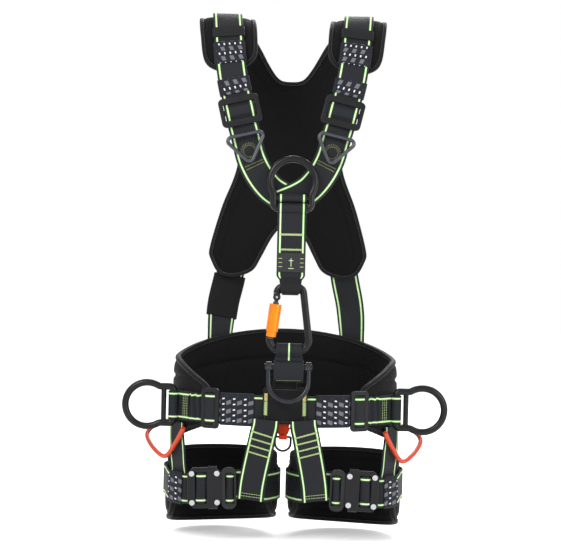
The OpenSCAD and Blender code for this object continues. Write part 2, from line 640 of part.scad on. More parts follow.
// Spring clip that holds the tongue's head; pressed towards the middle of the buckle to let go
module clip(side, way) color(grey_steel) at_buckle(side, buckle_x)
    translate([clip_x, way > 0 ? 18.5 : -18.5 - 13.5, -1.9]) difference() {
        cube([clip_w, 13.5, 3.8]);
        for (x = [2, 5.5, 9]) translate([x, way > 0 ? 12.8 : -0.5, -1]) cube([1.5, 1.2, 6]);
    }
module clip_upper_left() clip(left, 1);
module clip_lower_left() clip(left, -1);
module clip_upper_right() clip(right, 1);
module clip_lower_right() clip(right, -1);

module leg_keepers() color(keeper_blue) for (side = [left, right]) mirrored(side)
    band(along(leg_route, len(leg_route) - 4, len(leg_route) - 3, 0.5), up, web_w + 2 * gap,
         web_t + 1.6, n = 1);

// ---- Straps between belt and leg loops ----

riser_route = [[28, -132.4, -24.5], [31.5, -131, -36], [36, -125, -58], [42, -115, -88],
               [46, -107.5, -112], [48, -105.8, -134]];
riser_across = [1, 0.22, 0.08];
module leg_riser(side) color(charcoal) mirrored(side)
    ribbon(riser_route, riser_across, 41, t = 2 * web_t);
module leg_riser_left() leg_riser(left);
module leg_riser_right() leg_riser(right);

side_riser_route = [[163, -47, -27], [163, -48, -45], [161, -56, -64], [158, -69, -88]];
module side_riser(side) color(charcoal) mirrored(side)
    ribbon(side_riser_route, [0.55, 0.8, 0], web_w - 5);
module side_riser_left() side_riser(left);
module side_riser_right() side_riser(right);

gear_route = [[151, -75, -33], [164, -62, -58], [180, -48, -79], [199, -26, -70], [212, 2, -54],
              [207, 18, -43], [192, 28, -36], [181, 32, -32]];
gear_rod = 7;
module gear_loop(side) color(red_orange) mirrored(side) tube(gear_route, gear_rod, sides = 10);
module gear_loop_left() gear_loop(left);
module gear_loop_right() gear_loop(right);

tab_y = -123.5;
tab_hinge_z = -38;
tab_ring_rod = 3.5;
module tool_tab() color(red_orange) translate([-2, tab_y, 0]) rotate([90, 0, 0]) {
    translate([0, 0, -1]) linear_extrude(2) polygon([[-11, -24], [11, -24], [7, -34], [-7, -34]]);
    translate([0, tab_hinge_z, 0]) rotate([0, 90, 0]) difference() {
        cylinder(h = 12, r = 4.2, center = true, $fn = round_fn);
        cylinder(h = 14, r = tab_ring_rod / 2 + 0.4, center = true, $fn = round_fn);
    }
}
module tab_ring() color(black_steel) translate([-2, tab_y, tab_hinge_z]) rotate([90, 0, 0])
    translate([-9, 0, 0]) bent_rod(tab_ring_rod, [[0, 18], [2.5, -90], [0, 6.5], [11.5, -180],
                                                  [0, 6.5], [2.5, -90]]);

back_pad();
shoulder_pad_left();
shoulder_pad_right();
shoulder_strap_left();
shoulder_strap_right();
pad_keepers();
strap_keepers();
shoulder_adjuster_left();
shoulder_adjuster_right();
lower_strap_left();
lower_strap_right();
triangle_ring_left();
triangle_ring_right();
sternal_ring();
ring_wrap();
chest_strap();
chest_label();
carabiner_body();
carabiner_gate();
gate_pin();
locking_sleeve();
ventral_strap();
ventral_ring();
hub_patch();
belt_pad();
belt_webbing();
belt_adjuster_left();
belt_adjuster_right();
belt_keepers();
side_ring_left();
side_ring_right();
ring_loops();
gear_loop_left();
gear_loop_right();
back_strap_left();
back_strap_right();
strap_sleeve();
dorsal_plate();
dorsal_ring();
side_riser_left();
side_riser_right();
leg_pad_left();
leg_pad_right();
leg_strap_left();
leg_strap_right();
buckle_body_left();
buckle_body_right();
buckle_tongue_left();
buckle_tongue_right();
clip_upper_left();
clip_lower_left();
clip_upper_right();
clip_lower_right();
buckle_rivets();
leg_keepers();
leg_riser_left();
leg_riser_right();
tool_tab();
tab_ring();
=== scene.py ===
"""Looks of the tree climbing saddle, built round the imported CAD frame."""
import math

import bmesh
import bpy
import numpy as np
from mathutils import Matrix, Vector


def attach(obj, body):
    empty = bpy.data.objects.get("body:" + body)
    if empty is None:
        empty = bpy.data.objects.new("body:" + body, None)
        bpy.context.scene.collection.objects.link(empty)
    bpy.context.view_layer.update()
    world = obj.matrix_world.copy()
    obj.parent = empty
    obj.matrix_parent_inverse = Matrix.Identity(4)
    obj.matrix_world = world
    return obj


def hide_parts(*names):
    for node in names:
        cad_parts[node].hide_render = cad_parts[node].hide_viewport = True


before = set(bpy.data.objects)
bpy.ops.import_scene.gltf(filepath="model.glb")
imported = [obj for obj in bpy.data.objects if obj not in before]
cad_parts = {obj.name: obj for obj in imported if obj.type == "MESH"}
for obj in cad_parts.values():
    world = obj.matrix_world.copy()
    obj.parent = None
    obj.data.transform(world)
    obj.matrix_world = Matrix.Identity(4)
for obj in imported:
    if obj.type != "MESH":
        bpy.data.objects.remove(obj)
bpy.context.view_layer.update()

MM = 0.001
UP = (0, 0, 1)
LEFT, RIGHT = 1, -1
SIDES = {"left": LEFT, "right": RIGHT}
ROOT = "harness"

# ---------------------------------------------------------------- sizes shared with the CAD (mm)
WEB_W, WEB_T = 45, 2.4
TRIANGLE_ROD, GEAR_ROD, ROD_SIDES = 5.5, 7, 24
BELT_A, BELT_B, BELT_PAD_T = 173, 125, 13
SOFT_GAP, GAP = 0.9, 0.4
BELT_WEB_A = BELT_A + SOFT_GAP + WEB_T / 2
BELT_WEB_B = BELT_B + SOFT_GAP + WEB_T / 2
PAD_TIP = -50
LEG_X, LEG_A, LEG_B, LEG_Y, LEG_PAD_T = 94, 87, 84, -10, 12
LEG_WEB_Z, LEG_FROM, LEG_SWEEP = -118, -28, 236
FRONT_Y, CHEST_X = -138, 4
STERNAL_Z, CARABINER_Z, VENTRAL_Z = 297, 183, 66
BUCKLE_Y = -96
SHOULDER_PAD_T, BACK_PAD_T = 11, 12
STITCH_LIFT = WEB_T / 2 + 0.15
KEEPER_W, KEEPER_T = WEB_W + 2 * GAP, WEB_T + 2 * GAP


# ---------------------------------------------------------------- curves and frames
def unit(v):
    """v at length 1."""
    v = np.asarray(v, float)
    return v / np.linalg.norm(v)


def spline(points, per_span):
    """Catmull-Rom through rows of numbers, with per_span samples for each stretch."""
    p = np.asarray(points, float)
    if p.ndim == 1:
        p = p[:, None]
    rows = []
    for i in range(len(p) - 1):
        a, b, c, d = p[max(i - 1, 0)], p[i], p[i + 1], p[min(i + 2, len(p) - 1)]
        for f in np.arange(per_span) / per_span:
            rows.append(b + (c - a) * f / 2 + (2 * a - 5 * b + 4 * c - d) * f ** 2 / 2
                        + (3 * (b - c) + d - a) * f ** 3 / 2)
    rows.append(p[-1])
    return np.array(rows)


class Route:
    """A path with a width direction at every sample: where webbing and pads lie."""

    def __init__(self, points, across, per_span=12, mirror=False):
        count = len(points)
        wide = across if np.ndim(across) == 2 else [across] * count
        self.path = spline(points, per_span)
        self.wide = spline(wide, per_span)
        if mirror:
            self.path[:, 0] *= -1
            self.wide[:, 0] *= -1
        self.flip = -1 if mirror else 1
        step = np.linalg.norm(np.diff(self.path, axis=0), axis=1)
        self.dist = np.concatenate([[0], np.cumsum(step)])
        self.length = self.dist[-1]
        ahead = np.gradient(self.path, axis=0)
        self.ahead = ahead / np.linalg.norm(ahead, axis=1)[:, None]
        side = self.wide - np.sum(self.wide * self.ahead, axis=1)[:, None] * self.ahead
        self.side = side / np.linalg.norm(side, axis=1)[:, None]
        self.out = np.cross(self.ahead, self.side) * self.flip

    def at(self, v):
        """Position, direction, width direction and outward normal at distance v."""
        v = np.clip(v, 0, self.length)
        return [np.array([np.interp(v, self.dist, rows[:, k]) for k in range(3)])
                for rows in (self.path, self.ahead, self.side, self.out)]

    def point(self, u, v, lift=0.0):
        p, _, side, out = self.at(v)
        return p + u * side + lift * out


def stations_between(v0, v1, step):
    """Evenly spaced distances no further apart than about step."""
    return np.linspace(v0, v1, max(3, int(abs(v1 - v0) / step) + 1))


def strap_section(w, t, flat=9, round_steps=3):
    """Closed outline of webbing: flat faces, rounded selvedges."""
    r = t / 2
    xs = np.linspace(-w / 2 + r, w / 2 - r, flat)
    arc = np.linspace(-math.pi / 2, math.pi / 2, round_steps + 2)[1:-1]
    right = [(w / 2 - r + r * math.cos(a), r * math.sin(a)) for a in arc]
    return ([(x, -r) for x in xs] + right + [(x, r) for x in xs[::-1]]
            + [(-x, -y) for x, y in right])


# ---------------------------------------------------------------- meshes
def mesh_object(name, verts, faces, material, attribute=None, sharp=50):
    """A smooth-shaded object from points in mm; attribute holds each point's lay."""
    mesh = bpy.data.meshes.new(name)
    mesh.from_pydata([tuple(v) for v in np.asarray(verts) * MM], [], faces)
    if attribute is not None:
        layer = mesh.attributes.new("lay", "FLOAT_VECTOR", "POINT")
        layer.data.foreach_set("vector", np.asarray(attribute, float).ravel())
    mesh.validate()
    mesh.shade_smooth()
    mesh.set_sharp_from_angle(angle=math.radians(sharp))
    obj = bpy.data.objects.new(name, mesh)
    bpy.context.collection.objects.link(obj)
    mesh.materials.append(material)
    return obj


def ring_faces(k, m, start=0, wrap=False, caps=True, flip=False):
    """Faces of a tube made of k rings of m points."""
    faces = []
    for i in range(k if wrap else k - 1):
        for j in range(m):
            a, b = start + i * m + j, start + i * m + (j + 1) % m
            c, d = start + ((i + 1) % k) * m + j, start + ((i + 1) % k) * m + (j + 1) % m
            faces.append((a, c, d, b) if flip else (a, b, d, c))
    if caps and not wrap:
        first, last = list(range(start, start + m)), list(range(start + (k - 1) * m, start + k * m))
        faces += [first if flip else first[::-1], last[::-1] if flip else last]
    return faces


def webbing(name, route, material, body=ROOT, stands_for=(), width=WEB_W, thick=WEB_T,
            ripple=None, step=2.5):
    """Webbing along a route; width may be a function of distance, ripple one of (u, v)."""
    verts, lay = [], []
    stations = stations_between(0.0, route.length, step)
    for v in stations:
        p, _, side, out = route.at(v)
        w = width(v) if callable(width) else width
        for u, h in strap_section(w, thick):
            rise = ripple(u, v) if ripple else 0.0
            verts.append(p + u * side + (h + rise) * out)
            lay.append((u * WEB_W / w, v, h))
    m = len(strap_section(1, 0.1))
    faces = ring_faces(len(stations), m, flip=route.flip < 0)
    obj = mesh_object(name, verts, faces, material, lay)
    place(obj, body, stands_for)
    return obj


def place(obj, body, stands_for):
    """Rides a piece on its body and hides the CAD node or nodes it takes over."""
    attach(obj, body)
    if stands_for:
        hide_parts(*([stands_for] if isinstance(stands_for, str) else stands_for))


def rod(name, path, d, material, body, stands_for=(), closed=False):
    """Round rod along dense points in mm, square to its own direction."""
    path = np.asarray(path, float)
    k, sides = len(path), ROD_SIDES
    ahead = (np.roll(path, -1, 0) - np.roll(path, 1, 0)) if closed else np.gradient(path, axis=0)
    ahead = ahead / np.linalg.norm(ahead, axis=1)[:, None]
    side = np.cross(ahead[0], unit((0.31, 0.17, 0.93)))
    verts, lay, along = [], [], 0.0
    for i in range(k):
        side = unit(side - np.dot(side, ahead[i]) * ahead[i])
        high = np.cross(ahead[i], side)
        along += np.linalg.norm(path[i] - path[i - 1]) if i else 0
        for j in range(sides):
            a = 2 * math.pi * j / sides
            verts.append(path[i] + d / 2 * (math.cos(a) * side + math.sin(a) * high))
            lay.append((a * d / 2, along, 0))
    obj = mesh_object(name, verts, ring_faces(k, sides, wrap=closed), material, lay, sharp=60)
    place(obj, body, stands_for)
    return obj


THREAD_D, BAR_THREAD_D = 0.75, 0.65


def stitches(name, runs, material, dash=2.6, space=0.9, d=THREAD_D,
             zigzag=False):
    """Rows of thread: each run is a list of points in mm that a line of dashes follows. In a
    zigzag every stretch between two points is one stitch."""
    verts, faces = [], []
    sides = 5
    for run in runs:
        run = np.asarray(run, float)
        seg = np.linalg.norm(np.diff(run, axis=0), axis=1)
        dist = np.concatenate([[0], np.cumsum(seg)])
        total = dist[-1]
        if zigzag:
            ends = list(zip(run[:-1], run[1:]))
        else:
            count = max(1, int(total / (dash + space)))
            cuts = np.arange(count + 1) * total / count
            ends = [[np.array([np.interp(x, dist, run[:, k]) for k in range(3)])
                     for x in (a + space / 2, b - space / 2)] for a, b in zip(cuts, cuts[1:])]
        for pa, pb in ends:
            axis = unit(pb - pa)
            side = unit(np.cross(axis, (0.21, 0.63, 0.75)))
            high = np.cross(axis, side)
            start = len(verts)
            for f, s in ((0, 0.45), (0.15, 1), (0.85, 1), (1, 0.45)):
                for j in range(sides):
                    t = 2 * math.pi * j / sides
                    verts.append(pa + (pb - pa) * f + s * d / 2 * (math.cos(t) * side
                                                                  + math.sin(t) * high))
            faces += ring_faces(4, sides, start)
    place(mesh_object(name, verts, faces, material, sharp=80), ROOT, ())


def across_runs(route, vs, half, lift):
    """Straight rows across a strap."""
    return [[route.point(u, v, lift) for u in np.linspace(-half, half, 9)] for v in vs]


# ---------------------------------------------------------------- materials
class Nodes:
    """Short hand for building a material's node tree."""

    def __init__(self, name):
        self.mat = bpy.data.materials.new(name)
        self.mat.use_nodes = True
        self.tree = self.mat.node_tree
        self.shader = self.tree.nodes["Principled BSDF"]

    def node(self, kind, **settings):
        n = self.tree.nodes.new(kind)
        for key, value in settings.items():
            setattr(n, key, value)
        return n

    def put(self, value, socket):
        if isinstance(value, (bpy.types.NodeSocket,)):
            self.tree.links.new(value, socket)
        else:
            socket.default_value = value

    def math(self, op, a, b=0.0, c=0.0):
        n = self.node("ShaderNodeMath", operation=op)
        for value, socket in zip((a, b, c), n.inputs):
            self.put(value, socket)
        return n.outputs[0]

    def lay(self):
        """Across (mm), along (mm) and height of a strap's own surface."""
        n = self.node("ShaderNodeAttribute", attribute_name="lay")
        return self.split(n.outputs["Vector"])

    def place(self):
        """Object position in mm."""
        n = self.node("ShaderNodeTexCoord")
        scale = self.node("ShaderNodeVectorMath", operation="SCALE")
        scale.inputs["Scale"].default_value = 1000
        self.tree.links.new(n.outputs["Object"], scale.inputs[0])
        return scale.outputs[0]

    def split(self, vector):
        n = self.node("ShaderNodeSeparateXYZ")
        self.tree.links.new(vector, n.inputs[0])
        return n.outputs

    def noise(self, vector, scale, detail=3.0, rough=0.55):
        n = self.node("ShaderNodeTexNoise")
        self.tree.links.new(vector, n.inputs["Vector"])
        n.inputs["Scale"].default_value = scale
        n.inputs["Detail"].default_value = detail
        n.inputs["Roughness"].default_value = rough
        return n.outputs[0]

    def mix(self, factor, a, b):
        n = self.node("ShaderNodeMix", data_type="RGBA")
        self.put(factor, n.inputs[0])
        for value, socket in ((a, n.inputs[6]), (b, n.inputs[7])):
            self.put(value if isinstance(value, bpy.types.NodeSocket) else (*value, 1), socket)
        return n.outputs[2]

    def step(self, x, low, high):
        """0 below low, 1 above high."""
        n = self.node("ShaderNodeMapRange", interpolation_type="SMOOTHSTEP")
        self.put(x, n.inputs[0])
        n.inputs[1].default_value, n.inputs[2].default_value = low, high
        return n.outputs[0]

    def ridge(self, x, pitch):
        """Smooth 0-1 wave of the given pitch."""
        wave = self.math("SINE", self.math("MULTIPLY", x, 2 * math.pi / pitch))
        return self.math("MULTIPLY_ADD", wave, 0.5, 0.5)

    def bump(self, height, strength, distance):
        n = self.node("ShaderNodeBump")
        n.inputs["Strength"].default_value = strength
        n.inputs["Distance"].default_value = distance
        self.tree.links.new(height, n.inputs["Height"])
        self.tree.links.new(n.outputs[0], self.shader.inputs["Normal"])

    def set(self, **values):
        for key, value in values.items():
            self.shader.inputs[key.replace("_", " ")].default_value = value

    def colour(self, value):
        self.put(value if isinstance(value, bpy.types.NodeSocket) else (*value, 1),
                 self.shader.inputs["Base Color"])

    def roughness(self, value):
        self.put(value, self.shader.inputs["Roughness"])


WEB_DARK, WEB_LIGHT = (0.0045, 0.005, 0.0065), (0.016, 0.017, 0.022)
STRIPE, STRIPE_EDGE = (0.62, 0.74, 0.46), (0.09, 0.27, 0.05)
STITCH_GREEN, STITCH_OLIVE = (0.42, 0.56, 0.22), (0.17, 0.19, 0.06)


def webbing_material(name, stripes=(-18.0, 18.0), dark=WEB_DARK, light=WEB_LIGHT):
    """Ribbed polyester webbing with thin pale green lines along it."""
    t = Nodes(name)
    u, v, _ = t.lay()
    place_mm = t.place()
    rib = t.ridge(t.math("ADD", v, t.math("MULTIPLY", t.ridge(u, 2.2), 0.7)), 1.7)
    cord = t.ridge(u, 2.2)
    weave = t.math("MULTIPLY", rib, t.math("MULTIPLY_ADD", cord, 0.6, 0.4))
    fuzz = t.noise(place_mm, 0.9, 4)
    body = t.mix(t.math("MULTIPLY", weave, fuzz), dark, light)
    colour = body
    for centre in stripes:
        off = t.math("ABSOLUTE", t.math("SUBTRACT", u, centre))
        border = t.math("SUBTRACT", 1.0, t.step(off, 1.45, 1.9))
        core = t.math("SUBTRACT", 1.0, t.step(off, 0.75, 1.05))
        picks = t.math("MULTIPLY_ADD", t.ridge(v, 1.7), 0.35, 0.65)
        colour = t.mix(border, colour, STRIPE_EDGE)
        colour = t.mix(t.math("MULTIPLY", core, picks), colour, STRIPE)
    t.colour(colour)
    t.roughness(t.math("MULTIPLY_ADD", fuzz, 0.25, 0.48))
    t.set(Sheen_Weight=0.03, Sheen_Roughness=0.4, Specular_IOR_Level=0.18)
    t.bump(t.math("ADD", weave, t.math("MULTIPLY", fuzz, 0.3)), 0.55, 0.0004)
    return t.mat


def pad_material(name, base=(0.0022, 0.0022, 0.0025), lift=(0.0085, 0.0085, 0.0095), pitch=3.0,
                 sheen=0.03):
    """Spacer mesh cloth: small diamond cells over black foam."""
    t = Nodes(name)
    x, y, z = t.split(t.place())
    around = t.math("ADD", x, y)
    a = t.ridge(t.math("ADD", around, z), pitch)
    b = t.ridge(t.math("SUBTRACT", around, z), pitch)
    cell = t.math("MULTIPLY", a, b)
    dirt = t.noise(t.place(), 0.05, 5)
    t.colour(t.mix(t.math("MULTIPLY", cell, t.math("ADD", dirt, 0.3)), base, lift))
    t.roughness(t.math("MULTIPLY_ADD", dirt, 0.2, 0.68))
    t.set(Sheen_Weight=sheen, Sheen_Roughness=0.5, Specular_IOR_Level=0.07)
    t.bump(t.math("ADD", cell, t.math("MULTIPLY", dirt, 0.4)), 0.6, 0.0006)
    return t.mat


def cloth_material(name, colour, light, pitch=1.1, rough=0.75, sheen=0.03, scale=0.0004):
    """Plain woven cloth or tape."""
    t = Nodes(name)
    x, y, z = t.split(t.place())
    over = t.ridge(t.math("ADD", x, y), pitch)
    under = t.ridge(z, pitch)
    weave = t.math("ABSOLUTE", t.math("SUBTRACT", over, under))
    cloud = t.noise(t.place(), 0.08, 5)
    t.colour(t.mix(t.math("MULTIPLY", weave, t.math("ADD", cloud, 0.25)), colour, light))
    t.roughness(t.math("MULTIPLY_ADD", cloud, 0.2, rough - 0.1))
    t.set(Sheen_Weight=sheen, Sheen_Roughness=0.45, Specular_IOR_Level=0.10)
    t.bump(weave, 0.5, scale)
    return t.mat


def keeper_material(name, pitch=13.0, row=17.0):
    """Printed elastic: rows of slanted grey bars with small white ticks between the rows."""
    t = Nodes(name)
    u, v, _ = t.lay()
    ground = t.mix(t.noise(t.place(), 0.4, 3), (0.004, 0.004, 0.007), (0.012, 0.013, 0.02))

    def marks(along, across, size, gap, slant, low, high):
        """Slanted bars of a given size, repeated along u inside low < v < high of each row."""
        slid = t.math("ADD", t.math("ADD", along, 500), t.math("MULTIPLY", across, slant))
        phase = t.math("FRACT", t.math("DIVIDE", slid, gap))
        bar = t.math("MULTIPLY", t.step(phase, 0.10, 0.16),
                     t.math("SUBTRACT", 1.0, t.step(phase, size, size + 0.06)))
        inside = t.math("MULTIPLY", t.step(across, low, low + 0.03),
                        t.math("SUBTRACT", 1.0, t.step(across, high - 0.03, high)))
        return t.math("MULTIPLY", bar, inside)

    level = t.math("FRACT", t.math("DIVIDE", t.math("ADD", v, 503), row))
    grey = marks(u, level, 0.55, pitch, 5.0, 0.06, 0.52)
    white = marks(u, level, 0.34, pitch * 0.62, 3.0, 0.66, 0.90)
    trim = t.math("SUBTRACT", 1.0, t.step(t.math("ABSOLUTE", u), 19.5, 20.0))
    colour = t.mix(t.math("MULTIPLY", grey, trim), ground, (0.10, 0.10, 0.115))
    colour = t.mix(t.math("MULTIPLY", white, trim), colour, (0.55, 0.55, 0.57))
    t.colour(colour)
    t.roughness(0.7)
    t.set(Sheen_Weight=0.03, Specular_IOR_Level=0.15)
    t.bump(t.math("MULTIPLY", t.ridge(v, 1.3), t.ridge(u, 1.0)), 0.5, 0.0004)
    return t.mat


def metal_material(name, colour, rough, metallic=1.0, wear=(0.3, 0.3, 0.31), wear_amount=0.25,
                   scratch=0.0001):
    """Metal with fine scratches, uneven gloss and rubbed edges."""
    t = Nodes(name)
    place_mm = t.place()
    blotch = t.noise(place_mm, 0.07, 5)
    fine = t.noise(place_mm, 2.5, 4, 0.7)
    edge = t.node("ShaderNodeNewGeometry").outputs["Pointiness"]
    rubbed = t.math("MULTIPLY", t.step(edge, 0.53, 0.62), t.math("MULTIPLY", fine, wear_amount))
    t.colour(t.mix(rubbed, t.mix(blotch, colour, [c * 1.5 for c in colour]), wear))
    t.roughness(t.math("ADD", rough - 0.08, t.math("MULTIPLY", blotch, 0.18)))
    t.set(Metallic=metallic, Specular_IOR_Level=0.3)
    t.bump(fine, 0.25, scratch)
    return t.mat


def rubber_material(name, colour, rough=0.42):
    """Moulded rubber tube: even colour, faint grain."""
    t = Nodes(name)
    cloud = t.noise(t.place(), 0.06, 4)
    fine = t.noise(t.place(), 1.5, 3)
    t.colour(t.mix(cloud, [c * 0.75 for c in colour], colour))
    t.roughness(t.math("MULTIPLY_ADD", fine, 0.2, rough - 0.1))
    t.set(Specular_IOR_Level=0.45, Subsurface_Weight=0.03)
    t.bump(fine, 0.2, 0.0002)
    return t.mat


def thread_material(name, colour):
    """Sewing thread with a twist in its shade."""
    t = Nodes(name)
    twist = t.noise(t.place(), 2.2, 2)
    t.colour(t.mix(twist, [c * 0.6 for c in colour], colour))
    t.roughness(0.6)
    t.set(Sheen_Weight=0.2)
    t.bump(twist, 0.4, 0.0002)
    return t.mat


web_mat = webbing_material("webbing_striped")
web_plain_mat = webbing_material("webbing_plain", stripes=())
web_centre_mat = webbing_material("webbing_centre_line", stripes=(0.0,))
pad_mat = pad_material("pad_mesh")
pad_outer_mat = cloth_material("pad_outer_cloth", (0.0025, 0.0025, 0.003), (0.008, 0.008, 0.009),
                               1.4, 0.7, 0.03, 0.0005)
binding_mat = cloth_material("pad_binding", (0.003, 0.003, 0.0035), (0.012, 0.012, 0.013), 1.0,
                             0.55)
patch_mat = cloth_material("patch_cloth", (0.003, 0.003, 0.0035), (0.010, 0.010, 0.011), 1.0,
                           0.62)
keeper_mat = keeper_material("printed_elastic")
elastic_mat = webbing_material("plain_elastic", stripes=(), dark=(0.003, 0.003, 0.0035),
                               light=(0.010, 0.010, 0.012))
label_mat = cloth_material("label_cloth", (0.018, 0.018, 0.02), (0.038, 0.038, 0.042), 0.8, 0.55)
label_mark_mat = thread_material("label_mark", (0.55, 0.72, 0.36))
stitch_mat = thread_material("thread_green", STITCH_GREEN)
olive_mat = thread_material("thread_olive", STITCH_OLIVE)
black_thread_mat = thread_material("thread_black", (0.014, 0.014, 0.016))
yellow_mat = thread_material("thread_yellow", (0.60, 0.52, 0.16))
black_steel_mat = metal_material("black_steel", (0.006, 0.006, 0.0065), 0.30, 0.4,
                                 wear=(0.10, 0.10, 0.105), wear_amount=0.15)
plate_mat = metal_material("black_plate", (0.006, 0.006, 0.007), 0.36, 0.4,
                           wear=(0.12, 0.12, 0.125), wear_amount=0.15)
grey_steel_mat = metal_material("grey_steel", (0.045, 0.047, 0.055), 0.36, 0.75,
                                wear=(0.3, 0.3, 0.32))
satin_black_mat = metal_material("satin_black", (0.016, 0.017, 0.02), 0.26, 0.6,
                                 wear=(0.15, 0.15, 0.16))
clip_mat = metal_material("clip_steel", (0.03, 0.03, 0.034), 0.38, 0.8)
bright_mat = metal_material("bright_steel", (0.36, 0.36, 0.37), 0.30, 1.0, wear=(0.6, 0.6, 0.6))
sleeve_mat = metal_material("orange_anodised", (0.56, 0.155, 0.006), 0.30, 0.6,
                            wear=(0.8, 0.36, 0.08), wear_amount=0.4)
gear_mat = rubber_material("orange_rubber", (0.50, 0.040, 0.006))
tab_mat = cloth_material("orange_tape", (0.34, 0.022, 0.004), (0.52, 0.040, 0.006), 1.6, 0.6)


# ---------------------------------------------------------------- pads
def smooth_rows(count, ends=0.35):
    """Numbers from 0 to 1, closer together near both ends."""
    x = np.linspace(0, 1, count)
    return (1 - ends) * x + ends * (0.5 - 0.5 * np.cos(math.pi * x))


def corner_drop(distance, r):
    """How far a rounded corner of radius r pulls the side in, that far from the end."""
    return 0.0 if distance >= r else r - math.sqrt(r * r - (r - distance) ** 2)


def even_loop(points, step=3.0):
    """A closed run of points, evenly spaced."""
    ring = np.concatenate([points, points[:1]])
    dist = np.concatenate([[0], np.cumsum(np.linalg.norm(np.diff(ring, axis=0), axis=1))])
    at = np.linspace(0, dist[-1], int(dist[-1] / step), endpoint=False)
    return np.array([[np.interp(x, dist, ring[:, k]) for k in range(3)] for x in at])


def edge_distance(points, rim):
    """Distance of every grid point from the rim."""
    fine = even_loop(rim, 1.5)
    return np.array([np.linalg.norm(row[:, None] - fine[None], axis=2).min(1) for row in points])


SEAM_AT, EDGE_THICK, SEAM_THICK = 7.0, 0.50, 0.40
LUMPS, PAD_FILL = 0.5, 0.75


def pad_profile(e, along, puff=6.0, pucker=0.35, pitch=8.0):
    """Share of the full thickness at distance e from the border: flat hem, seam, then crown."""
    e = np.maximum(e, 0)
    crown = SEAM_THICK + (1 - SEAM_THICK) * (1 - np.exp(-np.maximum(e - SEAM_AT, 0) / puff))
    hem = SEAM_THICK + (EDGE_THICK - SEAM_THICK) * np.clip((SEAM_AT - e) / 2.0, 0, 1)
    folds = pucker * 0.1 * np.sin(2 * math.pi * along / pitch) * np.exp(
        -np.abs(e - SEAM_AT - 3) / 4)
    return np.where(e < SEAM_AT, hem, crown + folds)


def grid_normals(points, facing):
    """Unit normals of a grid of points."""
    da, db = np.gradient(points, axis=0), np.gradient(points, axis=1)
    n = np.cross(da, db)
    n /= np.linalg.norm(n, axis=2)[:, :, None]
    return n * facing


def border(grid):
    """The grid's rim as one closed run of (row, column)."""
    rows, cols = grid.shape[:2]
    return ([(0, c) for c in range(cols)] + [(r, cols - 1) for r in range(1, rows)]
            + [(rows - 1, c) for c in range(cols - 2, -1, -1)]
            + [(r, 0) for r in range(rows - 2, 0, -1)])


def pad(name, points, thick, stands_for, facing=1, groove=None, normals=None):
    """A foam pad over a grid of mid points: crowned faces, sewn rim, bound edge."""
    points = np.asarray(points, float)
    rows, cols = points.shape[:2]
    normal = grid_normals(points, facing) if normals is None else normals
    e = edge_distance(points, np.array([points[r, c] for r, c in border(points)]))
    run = np.cumsum(np.linalg.norm(np.gradient(points, axis=0), axis=2), axis=0)
    run2 = np.cumsum(np.linalg.norm(np.gradient(points, axis=1), axis=2), axis=1)
    share = pad_profile(e, run + run2)
    if groove is not None:
        share = share * groove(points, e)
    soft = LUMPS * np.exp(-8 / np.maximum(e, 0.1)) * (
        np.sin(points[..., 0] / 23 + 1.3) * np.sin(points[..., 2] / 19 + 0.4)
        + 0.6 * np.sin(points[..., 0] / 11 + points[..., 1] / 9) * np.sin(points[..., 2] / 8.5))
    high = points + normal * (share * thick / 2 + soft * 0.5)[..., None]
    low = points - normal * (share * thick / 2 - soft * 0.5)[..., None]
    verts = np.concatenate([high.reshape(-1, 3), low.reshape(-1, 3)])
    count = rows * cols
    cell = [(r * cols + c, r * cols + c + 1, (r + 1) * cols + c + 1, (r + 1) * cols + c)
            for r in range(rows - 1) for c in range(cols - 1)]
    top = [q if facing < 0 else q[::-1] for q in cell]
    bottom = [tuple(count + i for i in (q[::-1] if facing < 0 else q)) for q in cell]
    rim = [r * cols + c for r, c in border(points)]
    wall = []
    for i, a in enumerate(rim):
        b = rim[(i + 1) % len(rim)]
        wall.append((a, b, count + b, count + a))
    obj = mesh_object(name, verts, top + bottom + wall, pad_outer_mat)
    obj.data.materials.append(pad_mat)
    obj.data.polygons.foreach_set("material_index", [0] * len(top) + [1] * len(bottom)
                                  + [0] * len(wall))
    tidy_normals(obj)
    place(obj, ROOT, stands_for)
    bind(name + "_binding", points, normal, thick * EDGE_THICK / 2 + 0.8)


